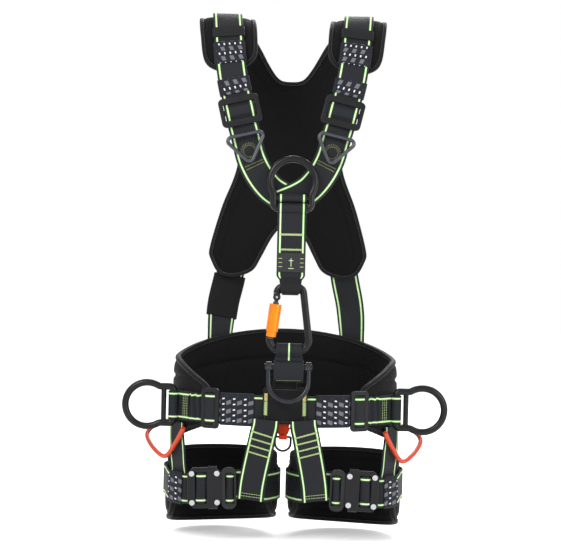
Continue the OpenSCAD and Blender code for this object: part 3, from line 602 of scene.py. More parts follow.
def bind(name, points, normal, half, width=6.6, inset=2.2):
    """Tape folded over a pad's rim, half thick to each side, with a row of stitches per face."""
    p = even_loop(np.array([points[r, c] for r, c in border(points)]))
    flat, flat_normal = points.reshape(-1, 3), normal.reshape(-1, 3)
    n = np.array([flat_normal[np.argmin(np.linalg.norm(flat - q, axis=1))] for q in p])
    for _ in range(2):
        p = (np.roll(p, 1, 0) + 2 * p + np.roll(p, -1, 0)) / 4
        n = (np.roll(n, 1, 0) + 2 * n + np.roll(n, -1, 0)) / 4
    ahead = np.roll(p, -1, 0) - np.roll(p, 1, 0)
    ahead /= np.linalg.norm(ahead, axis=1)[:, None]
    out = np.cross(ahead, n)
    out /= np.linalg.norm(out, axis=1)[:, None]
    inside = points[6:-6:4, 6:-6:4].reshape(-1, 3)
    near = np.array([inside[np.argmin(np.linalg.norm(inside - q, axis=1))] for q in p])
    if np.sum((p - near) * out) < 0:
        out = -out
    m, verts = 14, []
    for i in range(len(p)):
        for j in range(m):
            a = 2 * math.pi * j / m
            x = math.copysign(abs(math.cos(a)) ** 0.6, math.cos(a)) * width / 2 - inset
            y = math.copysign(abs(math.sin(a)) ** 0.6, math.sin(a)) * half
            verts.append(p[i] + x * out[i] + y * n[i])
    obj = mesh_object(name, verts, ring_faces(len(p), m, wrap=True), binding_mat)
    tidy_normals(obj)
    place(obj, ROOT, ())
    sewn = p + (1.4 - width / 2 - inset) * out
    runs = [np.concatenate([sewn + s * (half - 0.1) * n, (sewn + s * (half - 0.1) * n)[:1]])
            for s in (1, -1)]
    stitches(name + "_stitches", runs, black_thread_mat, dash=3.2, space=1.2)


def tidy_normals(obj):
    """Join points that coincide and turn every face of the closed mesh outward."""
    bm = bmesh.new()
    bm.from_mesh(obj.data)
    bmesh.ops.remove_doubles(bm, verts=bm.verts, dist=1e-6)
    bmesh.ops.recalc_face_normals(bm, faces=bm.faces)
    bm.to_mesh(obj.data)
    bm.free()


def belt_point(t, off=0.0, z=0.0):
    """Point at angle t on the belt webbing's middle line, moved outward by off."""
    c, s = math.cos(t), math.sin(t)
    n = unit((c / BELT_WEB_A, s / BELT_WEB_B, 0))
    return np.array([BELT_WEB_A * c, BELT_WEB_B * s, z]) + off * n


def belt_edges(t):
    """Lowest and highest z of the belt pad at angle t."""
    lift = max(0, math.sin(t))
    tip = (max(0, -math.sin(t)) / math.sin(math.radians(-PAD_TIP))) ** 2
    return -50 + 17 * lift ** 2 + 27 * tip, 72 + 40 * lift ** 1.5 - 42 * tip


def belt_grid(rows=230, cols=40):
    """Mid points of the belt pad from one front tip round to the other."""
    inside = -(WEB_T / 2 + SOFT_GAP + BELT_PAD_T / 2)
    turns = [math.radians(PAD_TIP + (180 - 2 * PAD_TIP) * f) for f in smooth_rows(rows, 0.25)]
    mids = [belt_point(t, inside) for t in turns]
    run = np.concatenate([[0], np.cumsum(np.linalg.norm(np.diff(mids, axis=0), axis=1))])
    grid = []
    for t, d in zip(turns, run):
        drop = corner_drop(min(d, run[-1] - d), 18)
        low, high = belt_edges(t)
        grid.append([belt_point(t, inside, low + drop + (high - low - 2 * drop) * f)
                     for f in smooth_rows(cols, 0.25)])
    return np.array(grid)


def groove_line(value, centre, width=2.2, depth=0.35):
    """Share of thickness left by a sewn line where value passes centre."""
    return 1 - depth * np.exp(-((value - centre) / width) ** 2)


def belt_groove(points, _):
    """Sewn lines under the top band and above the hem, and uprights beside the lumbar panel."""
    x, y, z = points[..., 0], points[..., 1], points[..., 2]
    lift = np.clip(y / 125, 0, 1)
    top_line = groove_line(z, 42 + 24 * lift ** 1.5, width=3.2, depth=0.55)
    low_line = groove_line(z, -26 + 10 * lift ** 2, depth=0.25)
    back = np.clip((y - 20) / 25, 0, 1)
    uprights = groove_line(np.abs(x), 96, depth=1) * back + (1 - back)
    return top_line * low_line * (1 - 0.35 * (1 - uprights))


pad("belt_pad_cloth", belt_grid(), BELT_PAD_T, "belt_pad", groove=belt_groove)


def leg_point(t, off, z):
    """Point at angle t round the thigh, moved outward by off."""
    c, s = math.cos(t), math.sin(t)
    n = unit((c / LEG_A, s / LEG_B, 0))
    return np.array([LEG_X + LEG_A * c, LEG_Y + LEG_B * s, z]) + off * n


def leg_edges(t):
    """Lowest and highest z of a leg pad at t degrees."""
    end = abs(2 * (t - LEG_FROM) / LEG_SWEEP - 1) ** 6
    a = math.radians(t)
    low = -190 + 12 * (1 - max(0, math.sin(a))) - 4 * math.cos(a) + 18 * end
    return low, -72 - 22 * end


def leg_grid(side, rows=170, cols=32):
    """Mid points of a leg pad from end to end."""
    grid = []
    turns = [LEG_FROM + LEG_SWEEP * f for f in smooth_rows(rows, 0.35)]
    mids = [leg_point(math.radians(t), -LEG_PAD_T / 2, 0) for t in turns]
    run = np.concatenate([[0], np.cumsum(np.linalg.norm(np.diff(mids, axis=0), axis=1))])
    for t, d in zip(turns, run):
        a = math.radians(t)
        low, high = leg_edges(t)
        drop = corner_drop(min(d, run[-1] - d), 16)
        row = [leg_point(a, -LEG_PAD_T / 2, low + drop + (high - low - 2 * drop) * f)
               for f in smooth_rows(cols, 0.3)]
        grid.append([p * (side, 1, 1) for p in row])
    return np.array(grid)


def leg_groove(points, _):
    """Sewn lines above and below the leg webbing."""
    return groove_line(points[..., 2], -91) * groove_line(points[..., 2], -167)


for side_name, side in SIDES.items():
    pad(f"leg_pad_{side_name}_cloth", leg_grid(side), LEG_PAD_T, f"leg_pad_{side_name}",
        facing=side, groove=leg_groove)


STRAP_ROUTE = [(100.5, 82.5, 557), (101, 72, 572), (102, 44, 594), (102, 12, 601),
               (101, -20, 597), (98, -55, 572), (94, -84, 530), (88, -100, 490),
               (79, -108, 452), (74, -112, 432)]
STRAP_ACROSS = [(1, 0, 0)] * 5 + [(1, 0, -0.08), (1, 0, -0.12), (1, 0, -0.18), (1, 0, -0.22),
                                  (1, 0, -0.24)]
PAD_UNDER = WEB_T / 2 + 3.4 + SHOULDER_PAD_T / 2
SHOULDER_WIDTHS = [78, 80, 82, 84, 84, 78, 52]


def shoulder_grid(side, rows=120, cols=30):
    """Mid points of a shoulder pad, under its strap from back to front."""
    points = [(101.5, 59, 584.5)] + STRAP_ROUTE[2:7] + [(91, -92, 508)]
    across = [(1, 0, 0)] + STRAP_ACROSS[2:8]
    route = Route(points, across, mirror=side < 0)
    widths = spline(SHOULDER_WIDTHS, 12)[:, 0]
    grid = []
    for f in smooth_rows(rows, 0.35):
        v = f * route.length
        w = np.interp(v, route.dist, widths) / 2
        w -= corner_drop(route.length - v, 13) + corner_drop(v, 10)
        p, _, side_dir, out = route.at(v)
        grid.append([p + side_dir * w * (2 * g - 1) - out * PAD_UNDER
                     for g in smooth_rows(cols, 0.3)])
    return np.array(grid)


PAD_ROWS = [[(0.2, 293), (26, 262), (44, 228), (58, 206), (88, 196), (112, 203), (127, 232)],
            [(0.2, 312), (28, 284), (48, 256), (66, 238), (88, 232), (108, 238), (122, 256)],
            [(0.2, 345), (26, 330), (48, 312), (66, 302), (82, 298), (97, 300), (107, 308)],
            [(0.2, 395), (18, 390), (36, 384), (52, 378), (66, 374), (76, 374), (83, 378)],
            [(0.2, 440), (18, 441), (36, 443), (52, 445), (66, 447), (78, 449), (88, 452)],
            [(0.2, 482), (20, 490), (40, 500), (58, 506), (76, 508), (92, 508), (106, 506)],
            [(0.2, 503), (21, 506), (41, 522), (62, 549), (84, 555), (108, 555), (128, 550)],
            [(0.2, 509), (18.5, 512), (34, 530), (61, 572), (84, 576), (112, 576), (139, 570)]]


def back_y(z):
    """Depth of the back pad's middle at height z: it leans forward toward the top."""
    return 103 - 12 * max(0, (z - 300) / 200) ** 2 - 14 * max(0, (z - 500) / 60) ** 2


def back_grid(fine=8):
    """Mid points of the back pad, each row from its right edge to its left edge. The last row
    follows the shoulders and the neckline."""
    half_rows = [spline(r, fine) for r in PAD_ROWS]
    columns = np.array([spline([r[c] for r in half_rows], fine)
                        for c in range(len(half_rows[0]))])
    rows = []
    for row in columns.transpose(1, 0, 2):
        left = [(x, back_y(z), z) for x, z in row]
        middle = [(0.0, back_y(row[0][1]), row[0][1])]
        rows.append([(-x, y, z) for x, y, z in left[::-1]] + middle + left)
    return np.array(rows)


def back_normals(points):
    """Straight back from the pad, leaning with its curve."""
    z = points[..., 2]
    slope = np.array([[back_y(v + 1) - back_y(v - 1) for v in row] for row in z]) / 2
    n = np.stack([np.zeros_like(z), np.ones_like(z), -slope], axis=-1)
    return n / np.linalg.norm(n, axis=2)[:, :, None]


def back_groove(_, e):
    """The seam that runs round the pad inside its rim."""
    return groove_line(e, 20, 1.8, 0.3)


back_points = back_grid()
pad("back_pad_cloth", back_points, BACK_PAD_T, "back_pad", groove=back_groove,
    normals=back_normals(back_points))
for side_name, side in SIDES.items():
    pad(f"shoulder_pad_{side_name}_cloth", shoulder_grid(side), SHOULDER_PAD_T,
        f"shoulder_pad_{side_name}", facing=-side)


# ---------------------------------------------------------------- webbing
def in_frame(matrix, points, side=1):
    """Points of a part's own axes in the shared frame, mirrored for the right side."""
    moved = [np.array(matrix @ Vector(p)) for p in points]
    return [p * (side, 1, 1) for p in moved]


def direction(matrix, v):
    """A direction of a part's own axes in the shared frame."""
    return tuple(matrix.to_3x3() @ Vector(v))


def thread_rows(name, route, vs, half, lift=STITCH_LIFT, material=stitch_mat):
    """Rows of stitching across a strap at distances vs."""
    stitches(name, across_runs(route, vs, half, lift), material)


def bar_tacks(name, route, vs, half, length=3.0, lift=STITCH_LIFT, material=stitch_mat,
              pitch=1.3):
    """Dense zigzag bars across a strap at distances vs."""
    us = np.arange(-half, half, pitch / 2)
    runs = [[route.point(u, v + (-1) ** i * length / 2, lift) for i, u in enumerate(us)]
            for v in vs]
    stitches(name, runs, material, d=BAR_THREAD_D, zigzag=True)


def box_cross(route, v0, v1, half=15.0, lift=STITCH_LIFT):
    """The box and cross of stitching that holds a webbing end."""
    def line(a, b):
        return [route.point(a[0] + (b[0] - a[0]) * f, a[1] + (b[1] - a[1]) * f, lift)
                for f in np.linspace(0, 1, 12)]
    c = [(-half, v0), (half, v0), (half, v1), (-half, v1)]
    return [line(c[i], c[(i + 1) % 4]) for i in range(4)] + [line(c[0], c[2]), line(c[1], c[3])]


def sleeve(name, route, v0, v1, material, stands_for=(), width=KEEPER_W, thick=KEEPER_T,
           wall=1.2, bulge=0.5):
    """A band of elastic round webbing: an open-ended tube with real walls."""
    stations = stations_between(v0, v1, 1.5)
    outer, inner = strap_section(width + 2 * wall, thick + 2 * wall), strap_section(width, thick)
    m, k = len(outer), len(stations)
    verts, lay = [], []
    for outline in (outer, inner):
        for v in stations:
            p, _, side, out = route.at(v)
            swell = bulge * math.sin(math.pi * (v - v0) / (v1 - v0)) if outline is outer else 0
            for u, h in outline:
                rise = h + (swell * 0.4 if h > 0 else 0)
                verts.append(p + u * side + rise * out)
                lay.append((u, v - (v0 + v1) / 2, h))
    faces = ring_faces(k, m, caps=False) + ring_faces(k, m, start=k * m, caps=False, flip=True)
    for end in (0, k - 1):
        for j in range(m):
            a, b = end * m + j, end * m + (j + 1) % m
            faces.append((a, b, b + k * m, a + k * m) if end else (b, a, a + k * m, b + k * m))
    obj = mesh_object(name, verts, faces, material, lay)
    tidy_normals(obj)
    place(obj, ROOT, stands_for)


LOWER_ROUTE = [(73, -113, 426), (65, -116, 398), (58, -119, 372), (46, -122, 348),
               (30, -124, 328), (14, -125, 317), (-3, -125.2, 309), (-18, -124.6, 303)]
LOWER_ACROSS = [(1, 0, -0.25), (1, 0, -0.27), (1, 0, -0.3), (0.85, 0, -0.55), (0.6, 0, -0.8),
                (0.35, 0, -0.95), (0.3, 0, -0.96), (0.3, 0, -0.96)]
CROSSING_BACK = [0, 0, 0, 1.2, 2.4, 3.2, 3.4, 3.4]  # the right strap passes behind the left
ADJUSTER_CENTRE, TRIANGLE_CENTRE = (76, -115.5, 441), (68.5, -123.2, 405)
CHEST_TURN, CHEST_TILT = 82, -13.5


def chest_frame(centre):
    """Axes of the hardware on a shoulder strap's front."""
    return (Matrix.Translation(Vector(centre)) @ Matrix.Rotation(math.radians(CHEST_TURN), 4, "X")
            @ Matrix.Rotation(math.radians(CHEST_TILT), 4, "Z"))


def crossing_points(side):
    """Control points of a lower strap; the right one passes behind."""
    back = CROSSING_BACK if side < 0 else [0] * len(LOWER_ROUTE)
    return [(x, y + shift, z) for (x, y, z), shift in zip(LOWER_ROUTE, back)]


def along_for_height(route, z):
    """Distance along a falling route at which it passes height z."""
    return float(np.interp(-z, -route.path[:, 2], route.dist))


def fan(route, v_mid, r0, r1, count, lift=STITCH_LIFT):
    """Spokes of stitching round a point on a strap."""
    return [[route.point(r * math.cos(a), v_mid + r * math.sin(a), lift)
             for r in np.linspace(r0, r1, 4)]
            for a in np.linspace(0, 2 * math.pi, count, endpoint=False)]


HUMP = [(-12, -2.2), (-9.8, -1.6), (-7.6, 0.4), (-5.2, 2.7), (-2, 3.25), (2, 3.25), (5.2, 2.7),
        (7.6, 0.4), (9.8, -1.6), (12, -2.2)]


def hump(name, matrix, points, across, side, body=ROOT):
    """Webbing threaded over the middle bar of an adjuster or buckle."""
    route = Route(in_frame(matrix, points), across, mirror=side < 0)
    webbing(name, route, web_mat, body, step=0.8)


for side_name, side in SIDES.items():
    strap = Route(STRAP_ROUTE, STRAP_ACROSS, mirror=side < 0)
    knots = strap.dist[::12]

    def between(i, share):
        """Distance along the strap a share of the way from control point i to the next."""
        return knots[i] + share * (knots[i + 1] - knots[i])

    webbing(f"shoulder_webbing_{side_name}", strap, web_mat,
            stands_for=f"shoulder_strap_{side_name}")
    sleeve(f"pad_keeper_{side_name}", strap, knots[5], between(5, 0.4), elastic_mat,
           "pad_keepers", wall=1.4)
    sleeve(f"strap_keeper_upper_{side_name}", strap, between(5, 0.6), between(6, 0.4), keeper_mat,
           "strap_keepers")
    sleeve(f"strap_keeper_lower_{side_name}", strap, knots[7], between(7, 0.6), keeper_mat)
    adjuster = chest_frame(ADJUSTER_CENTRE)
    hump(f"shoulder_hump_{side_name}", adjuster, [(0, -a, b) for a, b in HUMP],
         direction(adjuster, (1, 0, 0)), side)
    lower = Route(crossing_points(side), LOWER_ACROSS, mirror=side < 0)
    webbing(f"lower_webbing_{side_name}", lower, web_mat, stands_for=f"lower_strap_{side_name}")
    under = along_for_height(lower, 381)
    stitches(f"lower_fan_{side_name}", fan(lower, under, 7.5, 13.5, 30), olive_mat, dash=2.4,
             space=0.5)
    end_rows = along_for_height(lower, 363)
    bar_tacks(f"lower_tacks_{side_name}", lower, (end_rows, end_rows + 4.5), half=15, length=1.8,
              material=olive_mat, pitch=2.4)


def loop_path(top, bottom, r_top, r_bottom, gap):
    """A closed strap round two bars, as (z, y) about the strap's own plane: front is -y."""
    def arc(z, r, start, end, count):
        return [(z + r * math.sin(a), -r * math.cos(a)) for a in np.linspace(start, end, count)]
    run = top - bottom
    neck = min(10.0, run * 0.28)
    mid = (top + bottom) / 2
    back = [(mid, gap), (bottom + r_bottom + neck * 0.5, gap)]
    low = arc(bottom, r_bottom, math.radians(140), math.radians(400), 15)
    front = [(bottom + r_bottom + neck * 0.5, -gap), (mid, -gap), (top - r_top - neck * 0.5, -gap)]
    high = arc(top, r_top, math.radians(-40), math.radians(220), 15)
    end = [(top - r_top - neck * 0.5, gap), (mid + 0.8, gap)]
    return back + low + front + high + end


def chest_loop(name, top, bottom, r_top, r_bottom, wide, narrow, step_z, material, stands_for):
    """A doubled strap in the chest plane, wide above step_z and narrow below it (or the
    other way round)."""
    points = [(CHEST_X, FRONT_Y + y, z) for z, y in loop_path(top, bottom, r_top, r_bottom, 1.3)]
    route = Route(points, (-1, 0, 0), per_span=5)

    def width(v):
        z = route.at(v)[0][2]
        f = min(1, max(0, (z - step_z) / 12 + 0.5))
        f = f * f * (3 - 2 * f)
        return narrow + (wide - narrow) * f
    webbing(name, route, material, stands_for=stands_for, width=width, step=1.2)


chest_loop("chest_webbing", STERNAL_Z, CARABINER_Z - 1.4, 6.9, 7.9, WEB_W - 3, 29, 194, web_mat,
           "chest_strap")
chest_loop("ventral_webbing", 91.45, VENTRAL_Z, 7.9, 5.4, 38, WEB_W - 3, 80, web_centre_mat,
           "ventral_strap")
guard = [(CHEST_X, FRONT_Y + y, CARABINER_Z - 1.4 + z) for y, z in
         [(-4.0, 13), (-6.6, 8.5), (-9.2, 4), (-10.1, 0), (-8.8, -5), (-5, -8.8), (0, -10.1),
          (5, -8.8), (8.8, -5), (10.1, 0), (9.2, 4), (6.6, 8.5), (4.0, 13)]]
guard_route = Route(guard, (1, 0, 0), per_span=6)


def guard_width(v):
    """Full width at the ends, drawn in where the guard turns round the carabiner."""
    return 33 - 9 * math.sin(math.pi * v / guard_route.length) ** 2


webbing("chest_guard", guard_route, elastic_mat, width=guard_width, thick=2.0, step=0.9)
ROLL = [(-130.1, 66), (-132.4, 72.4), (-138, 74.6), (-143.8, 72), (-146, 66), (-145.6, 58),
        (-144.2, 50), (-142.4, 46.2), (-139.4, 44.6), (-136.6, 46.6), (-135.4, 51),
        (-133.8, 57), (-130.9, 63)]
roll_route = Route([(CHEST_X, y, z) for y, z in ROLL[::-1]], (-1, 0, 0), per_span=6)
webbing("ventral_roll", roll_route, web_plain_mat, width=44, step=1.0)
thread_rows("ventral_roll_rows", roll_route, [roll_route.length * 0.36], half=18,
            material=olive_mat, lift=WEB_T / 2 + 0.2)
chest_face = Route([(CHEST_X, FRONT_Y - 2.5, 290), (CHEST_X, FRONT_Y - 2.5, 200)], (-1, 0, 0))
for n, z in enumerate((259, 237)):
    bar_tacks(f"chest_bar_{n}", chest_face, [290 - z], half=17, length=3.4, lift=0.2)


STERNAL_LEAN = math.radians(5)
ROLL_RADIUS, ROLL_TURN = 5.1, 350


def ring_roll():
    """Webbing rolled once round the sternal ring's bar."""
    up = np.array((0, math.sin(STERNAL_LEAN), math.cos(STERNAL_LEAN)))
    centre = np.array((CHEST_X, FRONT_Y, STERNAL_Z)) + 15 * up
    points = [centre + ROLL_RADIUS * np.array((0, math.cos(a), math.sin(a)))
              for a in np.radians(np.linspace(0, ROLL_TURN, 26))]
    webbing("ring_roll", Route(points, (-1, 0, 0), per_span=3), web_mat, "sternal_ring_body",
            "ring_wrap", WEB_W - 3, 2.0, step=0.9)


ring_roll()


# ---------------------------------------------------------------- belt
SIDE_HINGE = (168.14, -56.72, 0)
KEEPER_FROM, KEEPER_TO = -75, -57
ADJUSTER_TURN, ADJUSTER_OFF = -51.5, 3.35
HUB_Y, HUB_T, HUB_W = -129.9, 2.4, 66


def belt_route(t0, t1, count=60, side=1):
    """The belt's own line from t0 to t1 degrees."""
    points = [belt_point(math.radians(t)) for t in np.linspace(t0, t1, count)]
    return Route(points, UP, per_span=3, mirror=side < 0)


def slack(route, v):
    """1 in the loose stretch between a side ring and its adjuster, 0 elsewhere."""
    x, y, _ = route.at(v)[0]
    t = math.degrees(math.atan2(y / BELT_WEB_B, abs(x) / BELT_WEB_A))
    return max(0.0, 1 - ((t + 40.8) / 6.2) ** 4)


FOLD_PITCH, FOLD_DEPTH = 11.5, 5.0


def fold(v, u=0.0):
    """Wave of the slack webbing's folds."""
    return math.sin(2 * math.pi * (v / FOLD_PITCH + 0.08 * math.sin(u / 9)))


belt = belt_route(-86, 266, count=120)
webbing("belt_webbing_cloth", belt, web_mat, stands_for="belt_webbing", step=1.4,
        ripple=lambda u, v: slack(belt, v) * FOLD_DEPTH * (0.5 + 0.5 * fold(v, u)),
        width=lambda v: WEB_W * (1 - 0.06 * slack(belt, v) * (0.5 + 0.5 * fold(v))))


def side_loop(side):
    """Webbing sewn to the belt and folded round a side ring's bar."""
    hinge = np.array(SIDE_HINGE)
    tail = [belt_point(math.radians(t), 2.65) for t in (-36, -34, -32, -30)]
    head = [belt_point(math.radians(t), 2.65) for t in (-19.5, -17, -14.5)]
    n = unit((hinge[0] / BELT_WEB_A ** 2, hinge[1] / BELT_WEB_B ** 2, 0))
    along = np.cross(UP, n)
    ring = [hinge + 6.9 * (math.cos(a) * n + math.sin(a) * along)
            for a in np.radians(np.linspace(-140, 140, 13))]
    return Route(tail + ring + head, UP, per_span=5, mirror=side < 0)


for side_name, side in SIDES.items():
    loop = side_loop(side)
    webbing(f"ring_loop_{side_name}", loop, web_mat, stands_for="ring_loops", width=WEB_W - 2,
            step=0.9)
    thread_rows(f"ring_loop_rows_{side_name}", loop, [3.5, 8.0, 12.5], half=17)
    thread_rows(f"ring_loop_tail_{side_name}", loop, [loop.length - 4, loop.length - 9], half=17)
    near = belt_route(KEEPER_FROM, KEEPER_TO, side=side)
    sleeve(f"belt_keeper_{side_name}", near, 0, near.length, keeper_mat, "belt_keepers",
           bulge=0.8)
    plate = (Matrix.Translation(Vector(belt_point(math.radians(ADJUSTER_TURN), ADJUSTER_OFF)))
             @ Matrix.Rotation(math.radians(30.5), 4, "Z")
             @ Matrix.Rotation(math.radians(90), 4, "X"))
    hump(f"belt_hump_{side_name}", plate, [(a, 0, b) for a, b in HUMP], UP, side)


# ---------------------------------------------------------------- centre of the belt
def rounded_outline(w, h, r, count=8):
    """A rectangle with rounded corners, about its centre."""
    corners = [(w / 2 - r, h / 2 - r, 0), (r - w / 2, h / 2 - r, 90),
               (r - w / 2, r - h / 2, 180), (w / 2 - r, r - h / 2, 270)]
    return [(x + r * math.cos(math.radians(a + 90 * i / count)),
             z + r * math.sin(math.radians(a + 90 * i / count)))
            for x, z, a in corners for i in range(count + 1)]


def patch(name, w, h, r, centre, thick, material, stands_for=(),
          dome=0.2):
    """A flat sewn patch facing the front: a low dome with a turned edge."""
    x0, y0, z0 = centre
    rings = [(1.0, 0.0), (1.0, 0.5), (0.985, 0.85), (0.95, 1.0), (0.8, 1.0), (0.5, 1.0), (0.2, 1)]
    outline = rounded_outline(w, h, r)
    m = len(outline)
    verts = []
    for scale, rise in rings:
        swell = dome * (1 - scale) * 2 if scale < 0.9 else 0
        for x, z in outline:
            inset = (1 - scale) * min(w, h) / 2
            fx, fz = 1 - inset / (w / 2), 1 - inset / (h / 2)
            verts.append((x0 + x * fx, y0 + thick / 2 - rise * thick - min(swell, dome),
                          z0 + z * fz))
    faces = ring_faces(len(rings), m)
    obj = mesh_object(name, verts, faces, material, sharp=40)
    tidy_normals(obj)
    place(obj, ROOT, stands_for)


def frame_run(w, h, r, centre, inset):
    """A row of stitching round a patch, inset from its edge."""
    x0, y, z0 = centre
    ring = rounded_outline(w - 2 * inset, h - 2 * inset, max(1, r - inset))
    points = [(x0 + x, y, z0 + z) for x, z in ring]
    return points + points[:1]


HUB_H, HUB_R, HUB_Z = 54, 6, 8
HUB_TOP_W, HUB_TOP_H, HUB_TOP_R, HUB_TOP_Z = 40, 30, 3, 40
hub_face = HUB_Y - HUB_T / 2 - 0.35
patch("hub_patch_cloth", HUB_W, HUB_H, HUB_R, (0, HUB_Y, HUB_Z), HUB_T, patch_mat, "hub_patch",
      dome=0.3)
patch("hub_patch_top", HUB_TOP_W, HUB_TOP_H, HUB_TOP_R, (0, HUB_Y, HUB_TOP_Z), HUB_T, patch_mat)
stitches("hub_rows", [frame_run(HUB_W, HUB_H, HUB_R, (0, hub_face, HUB_Z), 3.5),
                      frame_run(HUB_TOP_W, HUB_TOP_H - 4, HUB_TOP_R,
                                (0, hub_face, HUB_TOP_Z + 2), 3.0)],
         black_thread_mat)


def zigzag(x0, x1, z0, z1, y, pitch):
    """An upright zigzag between two x values."""
    count = int((z1 - z0) / pitch * 2)
    return [((x0, x1)[i % 2], y, z0 + (z1 - z0) * i / count) for i in range(count + 1)]


for colour, z0, z1, thread in (("white", -6, 14, stitch_mat), ("yellow", 15, 26, yellow_mat)):
    stitches(f"hub_zigzag_{colour}", [zigzag(s * 25.5, s * 31, z0, z1, hub_face, 1.5)
                                      for s in (LEFT, RIGHT)], thread,
             zigzag=True)

tab_route = Route([(-2, -125.6, -12), (-2, -124.6, -20), (-2, -123.5, -27), (-2, -123.5, -33)],
                  (1, 0, 0))
webbing("tool_tab_tape", tab_route, tab_mat, width=lambda v: 21 - 0.32 * v, thick=2.0)

LABEL_Y, LABEL_Z = FRONT_Y - 2.5 - GAP / 2 - 0.4, 218
patch("chest_label_cloth", 42, 28, 2, (CHEST_X, LABEL_Y, LABEL_Z), 0.8, label_mat, "chest_label")
label_face = LABEL_Y - 0.4 - 0.25


def on_label(*points):
    """Points on the label's face from (x, z) about its centre."""
    return [(CHEST_X + x, label_face, LABEL_Z + z) for x, z in points]


stitches("chest_label_arrow", [on_label((0, -6), (0, 7)), on_label((-3.4, 3), (0, 7), (3.4, 3)),
                               on_label((-4, -8.5), (4, -8.5))], label_mark_mat, dash=20,
         space=0.0, d=1.1)
stitches("chest_label_ticks", [on_label((s * 13, z), (s * 18.5, z)) for s in (LEFT, RIGHT)
                               for z in (-6, 0, 6)], stitch_mat, dash=20, space=0.0, d=0.9)


# ---------------------------------------------------------------- risers and leg straps
RISER_ROUTE = [(27.5, -134.4, -13), (28.2, -134, -22), (31.5, -131.6, -36), (36, -125, -58),
               (42, -115, -88), (46, -109, -112), (48, -107.4, -134)]
RISER_W, RISER_T, SIDE_RISER_W = 41, 4.6, 40
RISER_ACROSS = (1, 0.22, 0.08)
SIDE_RISER = [(163, -47, -27), (163, -48, -45), (161, -56, -64), (158, -68, -88),
              (156.5, -71.5, -110), (156.5, -71.5, -134)]
SIDE_RISER_ACROSS = [(0.55, 0.8, 0)] * 4 + [(0.68, 0.73, 0)] * 2
GEAR_ROUTE = [(151, -75, -33), (164, -62, -58), (180, -48, -79), (199, -26, -70),
              (212, 2, -54), (207, 18, -43), (192, 28, -36), (181, 32, -32)]
LEG_WEB_OFF = SOFT_GAP + WEB_T / 2
LEG_ROUTE = ([(96, -89.4, -116), (72, -89.4, -114), (48, -87, -114)]
             + [tuple(leg_point(math.radians(t), LEG_WEB_OFF,
                                LEG_WEB_Z + 2.5 * math.cos(math.radians(t))))
                for t in range(222, -19, -12)]
             + [(170, -66, -121), (150, -86, -122), (140, -89.4, -122), (114, -89.4, -121)])
BUCKLE_X, TONGUE_X = 117, 80.5


def buckle_frame(x):
    """Axes of a leg buckle's part at x."""
    return (Matrix.Translation(Vector((x, BUCKLE_Y, LEG_WEB_Z - 1)))
            @ Matrix.Rotation(math.radians(2), 4, "Y") @ Matrix.Rotation(math.radians(90), 4, "X"))


TONGUE_HUMP = [(-7.4, -2.4), (-6.0, 0.2), (-4.4, 2.6), (-1.4, 3.3), (1.2, 2.6), (2.8, 0.4),
               (3.4, -2.2), (4.0, -3.6)]
BODY_HUMP = [(-1.3, -4.6), (-1.3, 1.0), (-0.5, 4.8), (1.8, 6.5), (5, 6.9), (8.2, 6.5),
             (10.5, 4.8), (11.3, 1.0), (11.5, -2.6), (13.4, -5.2)]

for side_name, side in SIDES.items():
    riser = Route(RISER_ROUTE, RISER_ACROSS, mirror=side < 0)
    webbing(f"leg_riser_{side_name}_cloth", riser, web_mat, stands_for=f"leg_riser_{side_name}",
            width=RISER_W, thick=RISER_T)
    face = RISER_T / 2 + 0.15
    bars = [along_for_height(riser, z) for z in (-34, -44, -54, -64)]
    bar_tacks(f"riser_bars_{side_name}", riser, bars, half=17.5, length=2.6, lift=face)
    thread_rows(f"riser_end_{side_name}", riser, riser.length - np.array([5.0, 9.0]), half=15,
                lift=face)
    side_riser = Route(SIDE_RISER, SIDE_RISER_ACROSS, mirror=side < 0)
    webbing(f"side_riser_{side_name}_cloth", side_riser, web_mat,
            stands_for=f"side_riser_{side_name}", width=SIDE_RISER_W)
    leg = Route(LEG_ROUTE, UP, mirror=side < 0, per_span=8)
    webbing(f"leg_webbing_{side_name}", leg, web_mat, stands_for=f"leg_strap_{side_name}",
            step=2.0)
    sleeve(f"leg_keeper_{side_name}", leg, leg.dist[-25], leg.dist[-17], keeper_mat,
           "leg_keepers", thick=WEB_T + 1.6, bulge=0.6)
    hump(f"tongue_hump_{side_name}", buckle_frame(TONGUE_X), [(a, 0, b) for a, b in TONGUE_HUMP],
         UP, side, f"tongue_{side_name}_body")
    hump(f"buckle_hump_{side_name}", buckle_frame(BUCKLE_X), [(a, 0, b) for a, b in BODY_HUMP],
         UP, side)
    gear_path = spline(GEAR_ROUTE, 14) * (side, 1, 1)
    rod(f"gear_loop_{side_name}_tube", gear_path, GEAR_ROD, gear_mat, f"gear_loop_{side_name}_body",
        f"gear_loop_{side_name}")


# ---------------------------------------------------------------- back straps
PAD_FACE = BACK_PAD_T / 2 + 2.2 + WEB_T / 2
CROSS_OFF, CROSSING_Z = WEB_T + 3, 425
BACK_XZ = [(93, 198), (86, 250), (62, 320), (32, 375), (0, CROSSING_Z), (-36, 475), (-68, 520),
           (-92, 556)]
BACK_ACROSS = [(0.85, -0.5, 0), (0.85, -0.5, 0), (0.95, -0.2, 0), (1, 0, 0.15), (0.95, 0, 0.25),
               (0.9, 0, 0.45), (0.8, 0, 0.55), (0.8, 0, 0.6), (0.8, 0, 0.6), (0.85, 0, 0.5),
               (0.95, 0, 0.3)]


def back_route(extra, side):
    """A back strap from its foot on the belt over the crossing to the shoulder."""
    foot = math.radians(53)
    rest = [(x, back_y(z) + PAD_FACE + extra + 5 * max(0, (z - 460) / 100) ** 2, z)
            for x, z in BACK_XZ]
    return Route([belt_point(foot, 2.4, 30), belt_point(foot, 2.4, 100), (103, 117, 150)] + rest,
                 BACK_ACROSS, mirror=side < 0)


